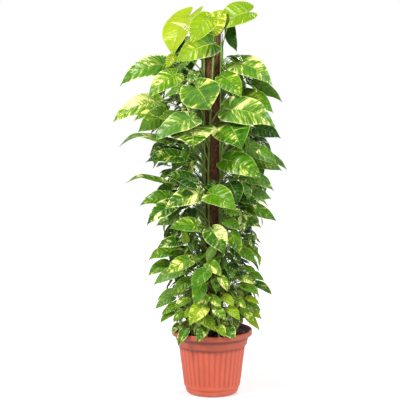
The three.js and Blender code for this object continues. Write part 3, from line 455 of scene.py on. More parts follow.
def node_leaf(stem, index, attempt, inner):
    """A leaf at a stem's node, drawn again for each attempt."""
    draw = random_from(index * 61 + attempt * 7 + (5000 if inner else 0))

    def between(low, high):
        return low + (high - low) * draw()

    pitch, first, _ = SHOOT_NODES if stem.shoot else VINE_NODES
    attach = SOIL_CROWN + first + (index % 100) * pitch + between(-0.3, 0.3) * pitch
    azimuth = stem.azimuth + (1 if index % 2 else -1) * between(4, 52)
    length = look_up(LENGTHS, attach + 40) * between(0.8, 1.15) * (1 - 0.03 * attempt)
    edge = look_up(CROWN, attach + 40) - (80 if inner else 0) * between(0.6, 1)
    drop = math.radians(between(12, 78))
    swing = azimuth + between(-35, 35)
    run = max(22 if inner else 34, edge - length * math.cos(drop) - STEM_AROUND) * between(0.72, 1)
    base = outward(azimuth) * (STEM_AROUND + run)
    if stem.shoot:
        base = stem.at(attach) + outward(azimuth) * between(14, 46)
    base[2] = attach + run * between(0.35, 0.75) + (between(0, 20) if stem.shoot else 0)
    shape = {
        "width": length * between(0.58, 0.78), "turn": between(-34, 34), "fold": between(0.1, 0.36),
        "lobes": between(0.14, 0.22), "arch": between(0.04, 0.11), "curl": between(0.1, 0.25),
        "twist": between(-0.2, 0.2),
    }
    leaf = hanging_leaf(stem, base, swing, drop, length, shape)
    leaf.attach = attach
    leaf.rise = between(0.12, 0.3)
    return leaf


class Outline:
    """The corners of a stem's solid, to tell which of its possible leaves is there."""

    def __init__(self, node):
        vertices = node.data.vertices
        self.tree = kdtree.KDTree(len(vertices))
        for i, vertex in enumerate(vertices):
            self.tree.insert(vertex.co, i)
        self.tree.balance()

    def distance(self, point):
        return self.tree.find(Vector([float(c) * MM for c in point]))[2] / MM

    def holds_blade(self, leaf):
        if self.distance(leaf.base + leaf.along * leaf.length) > CORNER_NEAR:
            return False
        u, s = np.array(leaf.sides()).T
        corners = np.vstack([leaf.points(u, s), leaf.points(u, -s)])
        found = sum(self.distance(point) < CORNER_NEAR for point in corners)
        return found >= CORNERS_FOUND * len(corners)

    def holds_stalk(self, leaf):
        inside = leaf.stalk(2 if leaf.small else 3)[1:-1]
        return all(abs(self.distance(point) - leaf.stalk_radius()) < STALK_NEAR for point in inside)


def place_leaves(stems):
    """The leaves of the solids: for each leaf, the first attempt that its stem's solid holds."""
    outlines = {stem.name: Outline(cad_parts[stem.name]) for stem in stems}
    leaves = []

    def settle(attempts):
        found = None
        for leaf in attempts:
            outline = outlines[leaf.stem.name]
            if not outline.holds_blade(leaf):
                continue
            if outline.holds_stalk(leaf):
                found = leaf
                break
            found = found or leaf
        if found:
            leaves.append(found)
            found.stem.leaves.append(found)
        return found

    missing = []
    for index, row in enumerate(FRONT_LEAVES):
        count = len(DEPTH_TRIES) * STALK_TRIES
        if not settle(front_leaf(row, index, attempt, stems) for attempt in range(count)):
            missing.append(index)
    for inner in (False, True):
        for order, stem in enumerate(stems):
            pitch, _, last = SHOOT_NODES if stem.shoot else VINE_NODES
            count = math.floor((stem.tip - SOIL_CROWN - last) / pitch)
            for node in range(0, count, 3 if inner else 1):
                index = (order + 1) * 100 + node
                settle(node_leaf(stem, index, attempt, inner) for attempt in range(NODE_TRIES))
    print("leaves", len(leaves), "front leaves missing", missing)
    return leaves


# ---------------------------------------------------------------- mesh helpers


def add_object(name, data):
    thing = bpy.data.objects.new(name, data)
    bpy.context.scene.collection.objects.link(thing)
    return thing


def make_piece(mesh, material, replaces=()):
    """A piece of the plant: what it is made of, and which solids it stands for."""
    mesh.materials.append(material)
    piece = add_object(mesh.name, mesh)
    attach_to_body(piece, "root")
    if replaces:
        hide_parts(*replaces)


def mark_points(mesh, name, values):
    """Three values at each point, for the materials."""
    attribute = mesh.attributes.new(name, "FLOAT_VECTOR", "POINT")
    attribute.data.foreach_set("vector", np.array(values, dtype=float).ravel())


class Build:
    """Collects points in millimetres, faces, and values at the points, and makes one piece of them."""

    def __init__(self):
        self.points = []
        self.faces = []
        self.values = {}
        self.sharp = set()
        self.count = 0

    def add(self, points, faces, **values):
        for name, value in values.items():
            value = np.asarray(value, dtype=float)
            if value.ndim == 1:
                value = np.tile(value, (len(points), 1))
            self.values.setdefault(name, []).append(value)
        self.points.append(points)
        self.faces.extend([[i + self.count for i in face] for face in faces])
        self.count += len(points)

    def finish(self, name, material, slot, replaces=()):
        mesh = bpy.data.meshes.new(name)
        mesh.from_pydata((np.vstack(self.points) * MM).tolist(), [], self.faces)
        for key, parts in self.values.items():
            mark_points(mesh, key, np.vstack(parts))
        mesh.polygons.foreach_set("use_smooth", [True] * len(mesh.polygons))
        if self.sharp:
            marks = [tuple(sorted(edge.vertices)) in self.sharp for edge in mesh.edges]
            mesh.edges.foreach_set("use_edge_sharp", marks)
        mesh.validate()
        mesh.update()
        make_piece(mesh, material, replaces)


def bell(x, width):
    """1 at 0, and next to nothing past twice the width."""
    return np.exp(-((x / width) ** 2))


def polar(radius, angle, height):
    return [radius * math.cos(angle), radius * math.sin(angle), height]


def angles_of(count):
    """Even steps round a circle."""
    return np.linspace(0, 2 * math.pi, count, endpoint=False)


def ring_faces(rings, count, closed=False):
    """Faces between rings of points, and from the last ring to the first one when closed."""
    faces = []
    for ring in range(rings if closed else rings - 1):
        low = ring * count
        high = (ring + 1) % rings * count
        for k in range(count):
            m = (k + 1) % count
            faces.append([low + k, low + m, high + m, high + k])
    return faces


def tube(path, radii, sides):
    """A closed tube along points, with frames that turn as little as they can."""
    path = np.asarray(path, dtype=float)
    ways = np.gradient(path, axis=0)
    ways /= np.maximum(1e-9, np.linalg.norm(ways, axis=1))[:, None]
    side = np.cross(ways[0], [0.31, 0.77, 0.55])
    angles = angles_of(sides)
    points = []
    for point, way, radius in zip(path, ways, radii):
        side = unit(side - way * float(side @ way))
        over = np.cross(way, side)
        points.append(point + radius * (np.outer(np.cos(angles), side) + np.outer(np.sin(angles), over)))
    points = np.vstack(points)
    ends = [list(range(sides))[::-1], list(range(len(points) - sides, len(points)))]
    return points, ring_faces(len(path), sides) + ends


def lathe(heights, count, radii_at, closed=False):
    """A round skin through rings at heights, open at both ends or closed from the last to the first."""
    angles = angles_of(count)
    points = []
    for level, height in enumerate(heights):
        r = radii_at(level, angles)
        points.append(np.stack([r * np.cos(angles), r * np.sin(angles), 0 * angles + height], axis=1))
    return np.vstack(points), ring_faces(len(heights), count, closed)


# ---------------------------------------------------------------- node materials


class Number:
    """A number in a material's nodes, so that sums of nodes are written as sums."""

    def __init__(self, shade, socket):
        self.shade = shade
        self.socket = socket

    def __add__(self, other):
        return self.shade.math("ADD", self, other)

    def __sub__(self, other):
        return self.shade.math("SUBTRACT", self, other)

    def __rsub__(self, other):
        return self.shade.math("SUBTRACT", other, self)

    def __mul__(self, other):
        return self.shade.math("MULTIPLY", self, other)

    def __abs__(self):
        return self.shade.math("ABSOLUTE", self)


class Shade:
    """The node tree of a new material, or of the world round the plant."""

    def __init__(self, name, made_in=bpy.data.materials, shader="Principled BSDF"):
        self.owner = made_in.new(name)
        self.owner.use_nodes = True
        self.nodes = self.owner.node_tree.nodes
        self.links = self.owner.node_tree.links
        self.shader = self.nodes[shader]

    def put(self, socket, value):
        if isinstance(value, Number):
            value = value.socket
        if isinstance(value, bpy.types.NodeSocket):
            self.links.new(value, socket)
        else:
            socket.default_value = value

    def node(self, kind, settings=None, **inputs):
        node = self.nodes.new(kind)
        for key, value in (settings or {}).items():
            setattr(node, key, value)
        for key, value in inputs.items():
            self.put(node.inputs[key.replace("_", " ")], value)
        return node

    def math(self, operation, *values, clamp=False):
        node = self.node("ShaderNodeMath", {"operation": operation, "use_clamp": clamp})
        for socket, value in zip(node.inputs, values):
            self.put(socket, value)
        return Number(self, node.outputs[0])

    def larger(self, a, b):
        return self.math("MAXIMUM", a, b)

    def split(self, vector):
        node = self.node("ShaderNodeSeparateXYZ", Vector=vector)
        return [Number(self, output) for output in node.outputs]

    def attribute(self, name):
        return self.split(self.node("ShaderNodeAttribute", {"attribute_name": name}).outputs["Vector"])

    def place(self):
        return self.node("ShaderNodeTexCoord").outputs["Object"]

    def noise(self, scale, detail, roughness=0.5, distortion=0.0, at=None):
        """Noise over the piece or at a vector. A scale for each axis draws it out."""
        if at is None:
            at = self.place()
        if isinstance(scale, tuple):
            node = self.node("ShaderNodeVectorMath", {"operation": "MULTIPLY"})
            self.put(node.inputs[0], at)
            self.put(node.inputs[1], scale)
            at, scale = node.outputs[0], 1.0
        node = self.node("ShaderNodeTexNoise", Vector=at, Scale=scale, Detail=detail, Roughness=roughness)
        self.put(node.inputs["Distortion"], distortion)
        return Number(self, node.outputs[0])

    def step(self, value, low, high, out_low=0.0, out_high=1.0):
        """A smooth step from one value to another."""
        ends = {"From_Min": low, "From_Max": high, "To_Min": out_low, "To_Max": out_high}
        node = self.node("ShaderNodeMapRange", {"interpolation_type": "SMOOTHSTEP"}, Value=value, **ends)
        return Number(self, node.outputs[0])

    def mix(self, factor, a, b, blend="MIX"):
        node = self.node("ShaderNodeMix", {"data_type": "RGBA", "blend_type": blend})
        for index, value in ((0, factor), (6, a), (7, b)):
            self.put(node.inputs[index], value)
        return node.outputs[2]

    def tinted(self, colour, *tint):
        return self.mix(1.0, colour, (*tint, 1), "MULTIPLY")

    def ramp(self, value, *stops):
        """Colours along a value, each as its place, red, green and blue."""
        node = self.node("ShaderNodeValToRGB", Fac=value)
        ramp = node.color_ramp
        while len(ramp.elements) < len(stops):
            ramp.elements.new(0.5)
        for element, (position, *colour) in zip(ramp.elements, stops):
            element.position = position
            element.color = rgb(*colour)
        return node.outputs[0]

    def bump(self, height, distance, strength=1.0):
        return self.node("ShaderNodeBump", Strength=strength, Distance=distance, Height=height).outputs[0]

    def finish(self, **inputs):
        for key, value in inputs.items():
            self.put(self.shader.inputs[key.replace("_", " ")], value)
        return self.owner


def rgb(*colour):
    """A colour as it shows on a screen, 0 to 255, in Blender's linear light."""
    linear = [c / 255 for c in colour]
    return (*(c / 12.92 if c <= 0.04045 else ((c + 0.055) / 1.055) ** 2.4 for c in linear), 1)


def leaf_material():
    s = Shade("leaf")
    along, cross, under = s.attribute("leaf_uv")
    seed, cream, warm = s.attribute("leaf_a")
    lime, tone, pale = s.attribute("leaf_b")
    mark_at, mark_side, mark_wide = s.attribute("leaf_c")
    ribbing, lit_tip, margin = s.attribute("leaf_d")
    size = s.attribute("leaf_size")[0]
    wide = abs(cross)
    shift = seed * 41.0 + s.step(cross, -0.01, 0.01) * 3.7

    def streaks(over, out, detail, roughness=0.55, distortion=0.0):
        """Noise drawn out from the middle rib along the side ribs."""
        at = s.node("ShaderNodeCombineXYZ", X=along * (size * over), Y=wide * out, Z=shift)
        return s.noise(1.0, detail, roughness, distortion, at.outputs[0])

    # the variegation: broad sectors, bands along the side ribs, and flecks
    broad = streaks(5.5, 0.8, 2.0)
    bands = streaks(24.0, 0.7, 3.0, 0.6, 0.1)
    flecks = streaks(75.0, 3.0, 2.0, 0.6)
    mottled = streaks(5.0, 3.0, 3.0, 0.6)
    uneven = bands - 0.5
    value = broad * 0.48 + bands * 0.74 + flecks * 0.42 - 0.315

    # the mark of this leaf, feathered along the side ribs
    ragged = abs(along - mark_at) + uneven * 0.3
    inside = s.step(1.0 - s.math("DIVIDE", ragged, s.larger(mark_wide, 0.001)), 0.0, 0.6)
    sides = s.larger(s.step(cross * mark_side, -0.02, 0.04), 1.0 - abs(mark_side))
    marked = inside * sides * s.step(mark_wide, 0.0, 0.01)

    edging = s.step(wide + uneven * 0.5, 0.84, 0.97) * margin
    level = value + (cream - 0.5) * 0.36 + marked * 0.16 + edging * 0.25
    # painted light: the lit tip half of a leaf drawn lime
    lime = s.larger(lime, lit_tip * s.step(along, 0.35, 0.75))
    depth = s.math("ADD", tone + (mottled - 0.5) * 0.6, uneven * 0.35, clamp=True)
    green = s.ramp(depth, (0.0, 14, 46, 2), (0.3, 34, 86, 4), (0.6, 68, 134, 6), (1.0, 126, 184, 18))
    limes = s.ramp(depth, (0.0, 104, 146, 4), (0.6, 152, 192, 6), (1.0, 190, 212, 34))
    light = s.mix(warm, rgb(168, 202, 104), rgb(186, 212, 44))
    cream_colour = s.mix(warm, rgb(230, 236, 196), rgb(228, 230, 112))
    colour = s.mix(s.step(level, 0.47, 0.62) * 0.75, s.mix(lime, green, limes), light)
    colour = s.mix(s.step(level, 0.575, 0.66) * 0.92, s.tinted(colour, 0.7, 0.68, 0.45), cream_colour)

    # side ribs, the middle rib and a painted highlight along the edge
    teeth = abs(s.math("FRACT", along * 11.0) - 0.5)
    middle = s.step(wide, 0.06, 0.015)
    ribs = s.larger(s.step(teeth, 0.08, 0.0) * s.step(wide, 1.0, 0.25) * 0.5, middle)
    colour = s.mix(ribs * (ribbing * 0.8 + 0.2), colour, rgb(176, 200, 104))
    edge_highlight = s.step(wide + (flecks - 0.5) * 0.06, 0.93, 0.985)
    colour = s.mix(edge_highlight * 0.5, colour, rgb(206, 220, 140))

    # the underside is paler and duller, and its ribs stand out
    below = s.mix(0.35, colour, rgb(104, 142, 66))
    colour = s.mix(under, colour, s.mix(ribs * 0.6, below, rgb(176, 198, 128)))
    colour = s.mix(pale * 0.5, colour, rgb(124, 156, 104))

    swell = (1.0 - s.math("POWER", teeth * 2.0, 2.0)) * s.step(wide, 0.0, 0.3)
    return s.finish(
        Base_Color=s.tinted(colour, 0.83, 0.82, 0.7),
        Roughness=under * 0.22 + flecks * 0.12 + 0.26,
        Specular_IOR_Level=0.18,
        Coat_Weight=0.05,
        Coat_Roughness=0.16,
        Normal=s.bump(mottled * 0.6 - swell - middle, 0.002, 0.9),
    )


def stem_material(name, young, old, dry):
    s = Shade(name)
    height, around, node = s.attribute("stem_uv")
    at = s.node("ShaderNodeCombineXYZ", X=height * 14.0, Y=around * 9.0)
    lines = s.noise(1.0, 3.0, 0.6, at=at.outputs[0])
    blotch = s.noise(45.0, 3.0, 0.6)
    colour = s.mix(s.step(height, 0.0, 1.0), rgb(*old), rgb(*young))
    colour = s.mix(s.step(lines, 0.5, 0.7) * 0.35, colour, rgb(170, 186, 104))
    colour = s.mix(s.step(blotch, 0.52, 0.7) * 0.45, colour, rgb(*dry))
    colour = s.mix(node * 0.6, colour, rgb(*dry))
    return s.finish(Base_Color=colour, Roughness=0.45, Normal=s.bump(lines, 0.0006, 0.6))


# Skins with a plain grain: its noise, its dark and its light colour, roughness and relief.
GRAINED = {
    "aerial_root": (((900, 900, 260), 3.0, 0.6), (96, 62, 36), (168, 132, 84), 0.8, 0.0006),
    "pole_twine": (((700, 700, 1400), 3.0, 0.6, 1.0), (38, 26, 18), (92, 68, 46), 0.85, 0.0008),
    "stake_wood": (((160, 160, 9), 4.0, 0.6, 0.6), (132, 98, 62), (190, 152, 104), 0.7, 0.0006),
}


def grained_material(name, grain, dark, light, roughness, relief):
    """A skin with grain from a dark colour to a light one."""
    s = Shade(name)
    grain = s.noise(*grain)
    colour = s.ramp(grain, (0.3, *dark), (0.7, *light))
    return s.finish(Base_Color=colour, Roughness=roughness, Normal=s.bump(grain, relief))


def coir_material():
    s = Shade("coir")
    matted = s.noise((230, 230, 120), 4.0, 0.7, 1.5)
    threads = s.noise((1100, 1100, 240), 2.0, 0.6, 2.0)
    patches = s.noise((90, 90, 60), 3.0, 0.65, 1.0)
    height = s.split(s.place())[2]
    colour = s.ramp(matted, (0.25, 48, 27, 18), (0.45, 108, 66, 46), (0.6, 140, 92, 66), (0.8, 172, 126, 94))
    colour = s.mix(s.step(threads, 0.5, 0.72), colour, rgb(150, 98, 66))
    colour = s.mix(s.step(height, 1.25, 1.35) * 0.45, colour, rgb(186, 150, 104))
    colour = s.mix(s.step(patches, 0.4, 0.56, 0.6, 0.0), colour, rgb(44, 25, 18))
    relief = s.bump(matted + threads * 0.5 + patches, 0.004)
    return s.finish(Base_Color=colour, Roughness=0.92, Specular_IOR_Level=0.2, Normal=relief)


def fibre_material():
    s = Shade("coir_fibre")
    shade, fresh, _ = s.attribute("fibre")
    wavy = s.noise((900, 900, 900), 2.0)
    colour = s.ramp(shade, (0.0, 52, 28, 18), (0.5, 120, 74, 48), (1.0, 176, 124, 82))
    colour = s.mix(fresh, colour, rgb(206, 172, 122))
    colour = s.mix(wavy * 0.3, colour, rgb(70, 40, 26))
    return s.finish(Base_Color=colour, Roughness=0.8)


def soil_material():
    s = Shade("potting_soil")
    lumps = s.noise(70.0, 5.0, 0.7, 0.4)
    grit = s.noise(420.0, 3.0, 0.7)
    colour = s.ramp(lumps, (0.3, 22, 12, 8), (0.5, 52, 31, 21), (0.65, 84, 54, 37), (0.85, 128, 92, 66))
    colour = s.mix(s.step(grit, 0.55, 0.75) * 0.5, colour, rgb(140, 104, 78))
    relief = s.bump(lumps + grit * 0.35, 0.006)
    return s.finish(Base_Color=colour, Roughness=0.95, Specular_IOR_Level=0.2, Normal=relief)


def crumb_material():
    s = Shade("soil_crumb")
    shade = s.attribute("crumb")[0]
    grain = s.noise((600, 600, 600), 3.0, 0.6)
    colour = s.ramp(shade, (0.0, 24, 14, 9), (0.55, 66, 40, 26), (0.85, 122, 84, 56), (1.0, 170, 136, 104))
    colour = s.mix(grain * 0.5, colour, rgb(40, 24, 16))
    return s.finish(Base_Color=colour, Roughness=0.95, Normal=s.bump(grain, 0.001))


def pot_material():
    s = Shade("terracotta_plastic")
    pebbles = s.node("ShaderNodeTexVoronoi", {"feature": "F1"}, Vector=s.place(), Scale=420.0)
    fine = s.noise(520.0, 3.0, 0.6)
    cloud = s.noise((9, 9, 5), 3.0, 0.6)
    flow = s.noise((60, 60, 6), 3.0, 0.6)
    foot_patches = s.noise((40, 40, 40), 4.0, 0.65)
    height = s.split(s.place())[2]
    flute_shade, under, inner_wall_shade = s.attribute("wall")
    colour = s.ramp(cloud, (0.3, 184, 80, 56), (0.7, 198, 90, 64))
    colour = s.mix(s.step(fine, 0.48, 0.66) * 0.2, colour, rgb(212, 108, 80))
    colour = s.mix(s.step(flow, 0.5, 0.75) * 0.2, colour, rgb(168, 68, 48))
    # painted shade in the valleys of the flutes
    colour = s.mix(flute_shade * 0.36, colour, rgb(118, 44, 30))
    # painted shade under the lip and the collar and over their bands, partly the collar band's own browner
    # tone
    colour = s.mix(under * 0.85, colour, rgb(88, 38, 22))
    colour = s.tinted(colour, 0.95, 0.88, 0.8)
    # painted shade: the inner wall below the lip darkened nearly to the soil's colour
    colour = s.mix(inner_wall_shade * s.step(cloud, 0.2, 0.6, 0.8, 0.95), colour, rgb(50, 27, 18))
    # lighter in patches over the lowest 30 mm of the pot
    low = s.step(height, 0.03, 0.0) * s.step(foot_patches, 0.4, 0.7)
    colour = s.mix(low * 0.35, colour, rgb(176, 120, 96))
    relief = s.bump(fine * 0.5 + s.math("MULTIPLY", pebbles.outputs["Distance"], 0.8), 0.0005, 0.5)
    return s.finish(Base_Color=colour, Roughness=fine * 0.16 + 0.42, Normal=relief)


def floor_material():
    s = Shade("studio_floor")
    colour = s.mix(s.noise(1.5, 3.0), (0.5, 0.5, 0.5, 1), (0.53, 0.53, 0.53, 1))
    away = s.node("ShaderNodeVectorMath", {"operation": "LENGTH"})
    s.put(away.inputs[0], s.place())
    glow = s.step(away.outputs["Value"], 0.4, 3.0, 0.36, 0.75)
    return s.finish(Base_Color=colour, Roughness=0.9, Emission_Color=(1, 1, 1, 1), Emission_Strength=glow)


# ---------------------------------------------------------------- leaves

# How finely a blade is drawn: rows from base to tip, and steps from the middle rib to the edge.
LARGE_NET = (28, [0, 0.05, 0.2, 0.4, 0.6, 0.8, 0.93, 1])
SMALL_NET = (16, [0, 0.05, 0.2, 0.6, 0.8, 1])
YOUNG_NET = (10, [0, 0.05, 0.4, 0.8, 1])
# The stems' radii, how far a node swells along its stem, and how far above the soil a stem is fresh.
VINE_THICK = 4.1
SHOOT_THICK = 3.4
NODE_REACH = 4
FRESH_OVER = 500


def edge_curve(leaf, rows):
    """The edge from the notch to the tip at even steps, as arrays of u and s, on a smooth curve."""
    lobes = leaf.lobes
    knots = [(0, 0), (-0.62 * lobes, 0.14), (-lobes, 0.42), (-0.35 * lobes, 0.83), (0.2, 1.0), (0.4, 0.935)]
    if leaf.small:
        knots += [(0.68, 0.62), (0.84, 0.28), (0.93, 0.08), (1, 0)]
    else:
        knots += [(0.6, 0.745), (0.8, 0.4), (0.9, 0.17), (0.955, 0.055), (1, 0)]
    knots = np.array(knots)
    ends = np.vstack([2 * knots[0] - knots[1], knots, 2 * knots[-1] - knots[-2]])
    t = np.linspace(0, 1, 14, endpoint=False)[:, None]
    points = []
    for p0, p1, p2, p3 in zip(ends, ends[1:], ends[2:], ends[3:]):
        square = (2 * p0 - 5 * p1 + 4 * p2 - p3) * t**2
        cube = (3 * p1 - p0 - 3 * p2 + p3) * t**3
        points.append(0.5 * (2 * p1 + (p2 - p0) * t + square + cube))
    points = np.vstack([*points, knots[-1]])
    real = points * [leaf.length, leaf.width / 2]
    run = np.concatenate([[0], np.cumsum(np.linalg.norm(np.diff(real, axis=0), axis=1))])
    even = np.linspace(0, run[-1], rows + 1)
    return np.interp(even, run, points[:, 0]), np.interp(even, run, points[:, 1])


def blade(leaf, draw):
    """The two faces of a blade with a common edge, as points, faces and their place on the leaf."""
    rows, steps = YOUNG_NET if leaf.young else SMALL_NET if leaf.small else LARGE_NET
    cross = np.array([-step for step in steps[:0:-1]] + steps, dtype=float)
    reach = np.abs(cross)
    columns = len(cross)
    edge_u, edge_s = edge_curve(leaf, rows)
    share = np.linspace(0, 1, rows + 1)
    rib_u = np.maximum(edge_u - 0.22 * edge_s, 0.05 * share)
    rib_u[-1] = 1
    wave = 1.2 + 1.6 * draw()
    phases = [2 * math.pi * draw(), 2 * math.pi * draw()]
    phase = np.where(cross < 0, *phases)
    swing = 0.026 * leaf.length * (0.5 + 0.8 * draw())
    droop = leaf.length * 0.9 * draw()
    points = []
    marks = []
    for side in (1, -1):
        for row in range(1, rows):
            along = share[row]
            u = rib_u[row] + (edge_u[row] - rib_u[row]) * reach**1.2
            waved = swing * reach**2 * np.sin(2 * math.pi * wave * along + phase)
            waved = waved * min(1, 3 * along) * min(1, 5 * (1 - along))
            thick = 0.5 - 0.3 * reach
            if side < 0:
                thick = thick + np.where(reach < 0.02, 0.9 * leaf.stalk_radius() * (1 - along) ** 0.7, 0)
            rise = waved - 0.8 * bell(reach, 0.09) + side * thick * (reach < 1)
            sunk = [0, 0, droop * max(0, along - 0.7) ** 2]
            points.append(leaf.points(u, edge_s[row] * cross, rise) - sunk)
            marks.append(np.stack([0 * cross + along, cross, 0 * cross + (side < 0)], axis=1))
    points = np.vstack(points)
    marks = np.vstack(marks)
    inner_rows = rows - 1
    base = len(points)
    ends = leaf.points(np.array([0.0, 1.0]), np.zeros(2)) - [[0, 0, 0], [0, 0, droop * 0.09]]
    points = np.vstack([points, ends])
    marks = np.vstack([marks, [[0, 0, 0], [1, 0, 0]]])

    def at(side, row, column):
        if row < 0:
            return base
        if row >= inner_rows:
            return base + 1
        if column in (0, columns - 1):
            side = 0
        return (side * inner_rows + row) * columns + column

    faces = []
    for side in (0, 1):
        for row in range(-1, inner_rows):
            for column in range(columns - 1):
                face = [at(side, row, column), at(side, row, column + 1)]
                face += [at(side, row + 1, column + 1), at(side, row + 1, column)]
                face = list(dict.fromkeys(face))
                if len(face) > 2:
                    faces.append(face if side else face[::-1])
    rim = []
    for column in (0, columns - 1):
        for row in range(-1, inner_rows):
            rim.append((at(0, row, column), at(0, row + 1, column)))
    used = sorted({i for face in faces for i in face})
    new = {old: i for i, old in enumerate(used)}
    faces = [[new[i] for i in face] for face in faces]
    rim = [(new[a], new[b]) for a, b in rim]
    return points[used], faces, marks[used], rim


def drawn_in(points, start):
    """The points, drawn in towards the leaf's start where they would leave the box of the solids."""
    points = np.array(points)
    for side, corner in ((-1, CAD_BOX[0]), (1, CAD_BOX[1])):
        for axis in range(3):
            limit = side * corner[axis] / MM
            furthest = np.max(side * points[:, axis])
            if furthest > limit:
                origin = side * start[axis]
                share = (limit - origin) / (furthest - origin)
                points[:, axis] = side * (origin + (side * points[:, axis] - origin) * share)
    return points


def rolled_blade(leaf):
    """A young leaf that is still rolled up: a slender spindle along its rib."""
    share = np.linspace(0, 1, 19)
    sides = 10
    radii = 0.34 * leaf.width * np.sin(math.pi * np.clip(share * 0.94 + 0.06, 0, 0.985)) ** 0.8
    points, faces = tube(leaf.points(share, 0 * share), radii, sides)
    around = np.abs(np.tile(np.cos(angles_of(sides)), len(share)))
    marks = np.stack([np.repeat(share, sides), 0.3 + 0.5 * around, 0 * around], axis=1)
    return points, faces, marks, []


def look_of(leaf, index):
    """The draw and the attributes of a leaf's look, drawn for a leaf that has no look of its own."""
    draw = random_from(LOOK_SEED + index)
    height = leaf.base[2]
    low = height < LOW_LEAVES
    high = height > HIGH_LEAVES
    seed = draw()
    if leaf.look:
        cream, warm, lime, tone, pale, *mark = LOOKS[leaf.look]
        more = mark[3:] or (0.2, 0, 0)
    else:
        cream = 0.12 + 0.48 * draw() ** 1.2 + (0.12 if low else 0.08 if high else 0)
        warm = 0.15 + 0.65 * draw()
        # above 1250 mm the lime grows with height: partly the crown's own lime, partly painted glow of light
        # through its leaves
        lime = max(0.0, (height - 1250) / 300) * draw() + (0.45 * draw() if low else 0)
        tone = 0.06 + 0.62 * draw()
        pale = 0.3 * draw() ** 2 + (0.15 if high else 0)
        mark = (0.2 + 0.6 * draw(), 1 if draw() > 0.5 else -1, 0.16 * draw() if draw() > 0.6 else 0.0)
        more = (0.3 * draw(), 0, 0.8 if draw() > 0.75 else 0)
    # the streaks are as wide on small leaves as on large ones
    size = min(1.15, max(0.4, leaf.length / 140))
    look = {"leaf_a": (seed, cream, warm), "leaf_b": (lime, tone + look_up(PAINTED_LIGHT_BY_HEIGHT, height), pale)}
    return draw, {**look, "leaf_c": mark[:3], "leaf_d": more, "leaf_size": (size, 0, 0)}


def band(path, wide):
    """Two crossed strips along a path."""
    path = np.asarray(path)
    count = len(path)
    ways = np.array([(1, 0, 0), (-1, 0, 0), (0, 1, 0), (0, -1, 0)])
    points = np.vstack([path + wide * way for way in ways])
    faces = []
    for i in range(count - 1):
        for a in (i, i + 2 * count):
            faces.append([a, a + count, a + count + 1, a + 1])
    return points, faces


def leaf_net(leaf):
    """A leaf's blade as a coarse net, with its stalk."""
    cross = np.array([-1, -0.5, 0, 0.5, 1])
    edge = np.array([(0, 0)] + leaf.sides() + [(1, 0)])
    u = np.maximum(edge[:, :1] - 0.2 * edge[:, 1:] * (1 - np.abs(cross)), 0)
    u[1:-1, (0, -1)] = edge[1:-1, :1]
    points = leaf.points(u.ravel(), (edge[:, 1:] * cross).ravel())
    corners = [row * 5 + k for row in range(len(edge) - 1) for k in range(4)]
    faces = [[a, a + 1, a + 6, a + 5] for a in corners]
    stalk, strips = band(leaf.stalk(8)[1:], leaf.stalk_radius())
    faces += [[i + len(points) for i in strip] for strip in strips]
    return np.vstack([points, stalk]), faces


class Room:
    """The blades, stalks and stems placed so far, to keep new leaves clear of them."""

    def __init__(self, stems, leaves):
        self.boxes = []
        self.trees = []
        for stem in stems:
            path = [stem.at(h) for h in np.linspace(SOIL_CROWN, stem.tip, 12)]
            self.takes(*band(path, STEM_RADIUS + 0.6), touching=True)
        for leaf in leaves:
            self.takes(*leaf_net(leaf), touching=True)

    def takes(self, points, faces, touching=False):
        """Keeps a form when it crosses nothing, or in any case when it may touch."""
        low, high = points.min(axis=0), points.max(axis=0)
        tree = bvhtree.BVHTree.FromPolygons(points.tolist(), faces)
        if not touching:
            boxes = np.array(self.boxes)
            near = np.nonzero(np.all(boxes[:, 3:] > low, axis=1) & np.all(boxes[:, :3] < high, axis=1))[0]
            if any(self.trees[i].overlap(tree) for i in near):
                return False
        self.boxes.append(np.concatenate([low, high]))
        self.trees.append(tree)
        return True


def in_holder(points):
    """Whether a point lies in, or nearly in, the pot, the soil or the pole."""
    r = np.hypot(points[:, 0], points[:, 1])
    z = points[:, 2]
    low = (r < POT_LIP + 4) & (z < SOIL_CROWN + 3 + 1.6 * np.clip(r - 100, 0, 40))
    lip = (r > POT_LIP - 12) & (r < POT_LIP + 4) & (z < POT_HEIGHT + 4)
    pole = (r < POLE_RADIUS + 3) & (z < POLE_TOP + 4)
    return bool(np.any(low | lip | pole))


def young_leaf(stems, bottom, top, small, large, rng):
    height = rng.uniform(bottom, top)
    azimuth = rng.uniform(0, 360)
    if rng.uniform() < 0.5:
        azimuth = rng.uniform(-75, 75)
    length = rng.uniform(small, large)
    crown = look_up(CROWN, height)
    drop = math.radians(rng.uniform(5, 75))
    swing = azimuth + rng.uniform(-50, 50)
    reach = rng.uniform(48, max(56, 0.97 * crown - length * math.cos(drop)))
    base = outward(azimuth) * reach
    base[2] = height
    low = height < SHOOT_YOUNG
    able = [stem for stem in stems if stem.shoot == low and stem.tip > height - 40]
    stem = min(able, key=lambda each: level_gap(each.beside(height), base))
    shape = {
        "turn": rng.uniform(-40, 40), "width": length * rng.uniform(0.5, 0.72),
        "fold": rng.uniform(0.15, 0.5), "lobes": rng.uniform(0.08, 0.18), "arch": rng.uniform(0.04, 0.14),
        "curl": rng.uniform(0.1, 0.3), "twist": rng.uniform(-0.3, 0.3), "young": True,
    }
    leaf = hanging_leaf(stem, base, swing, drop, length, shape)
    run = level_gap(base, stem.beside(height))
    leaf.attach = max(SOIL_CROWN + 6, min(stem.tip - 4, height - rng.uniform(0.4, 0.8) * run - 4))
    leaf.rise = rng.uniform(0.12, 0.3)
    return leaf


def bares_pole(points):
    """Whether the leaf stays off the pole's bare front."""
    front = (points[:, 1] < 0) & (points[:, 2] > BARE_FROM) & (np.abs(points[:, 0]) < BARE_SIDE)
    return not np.any(front)


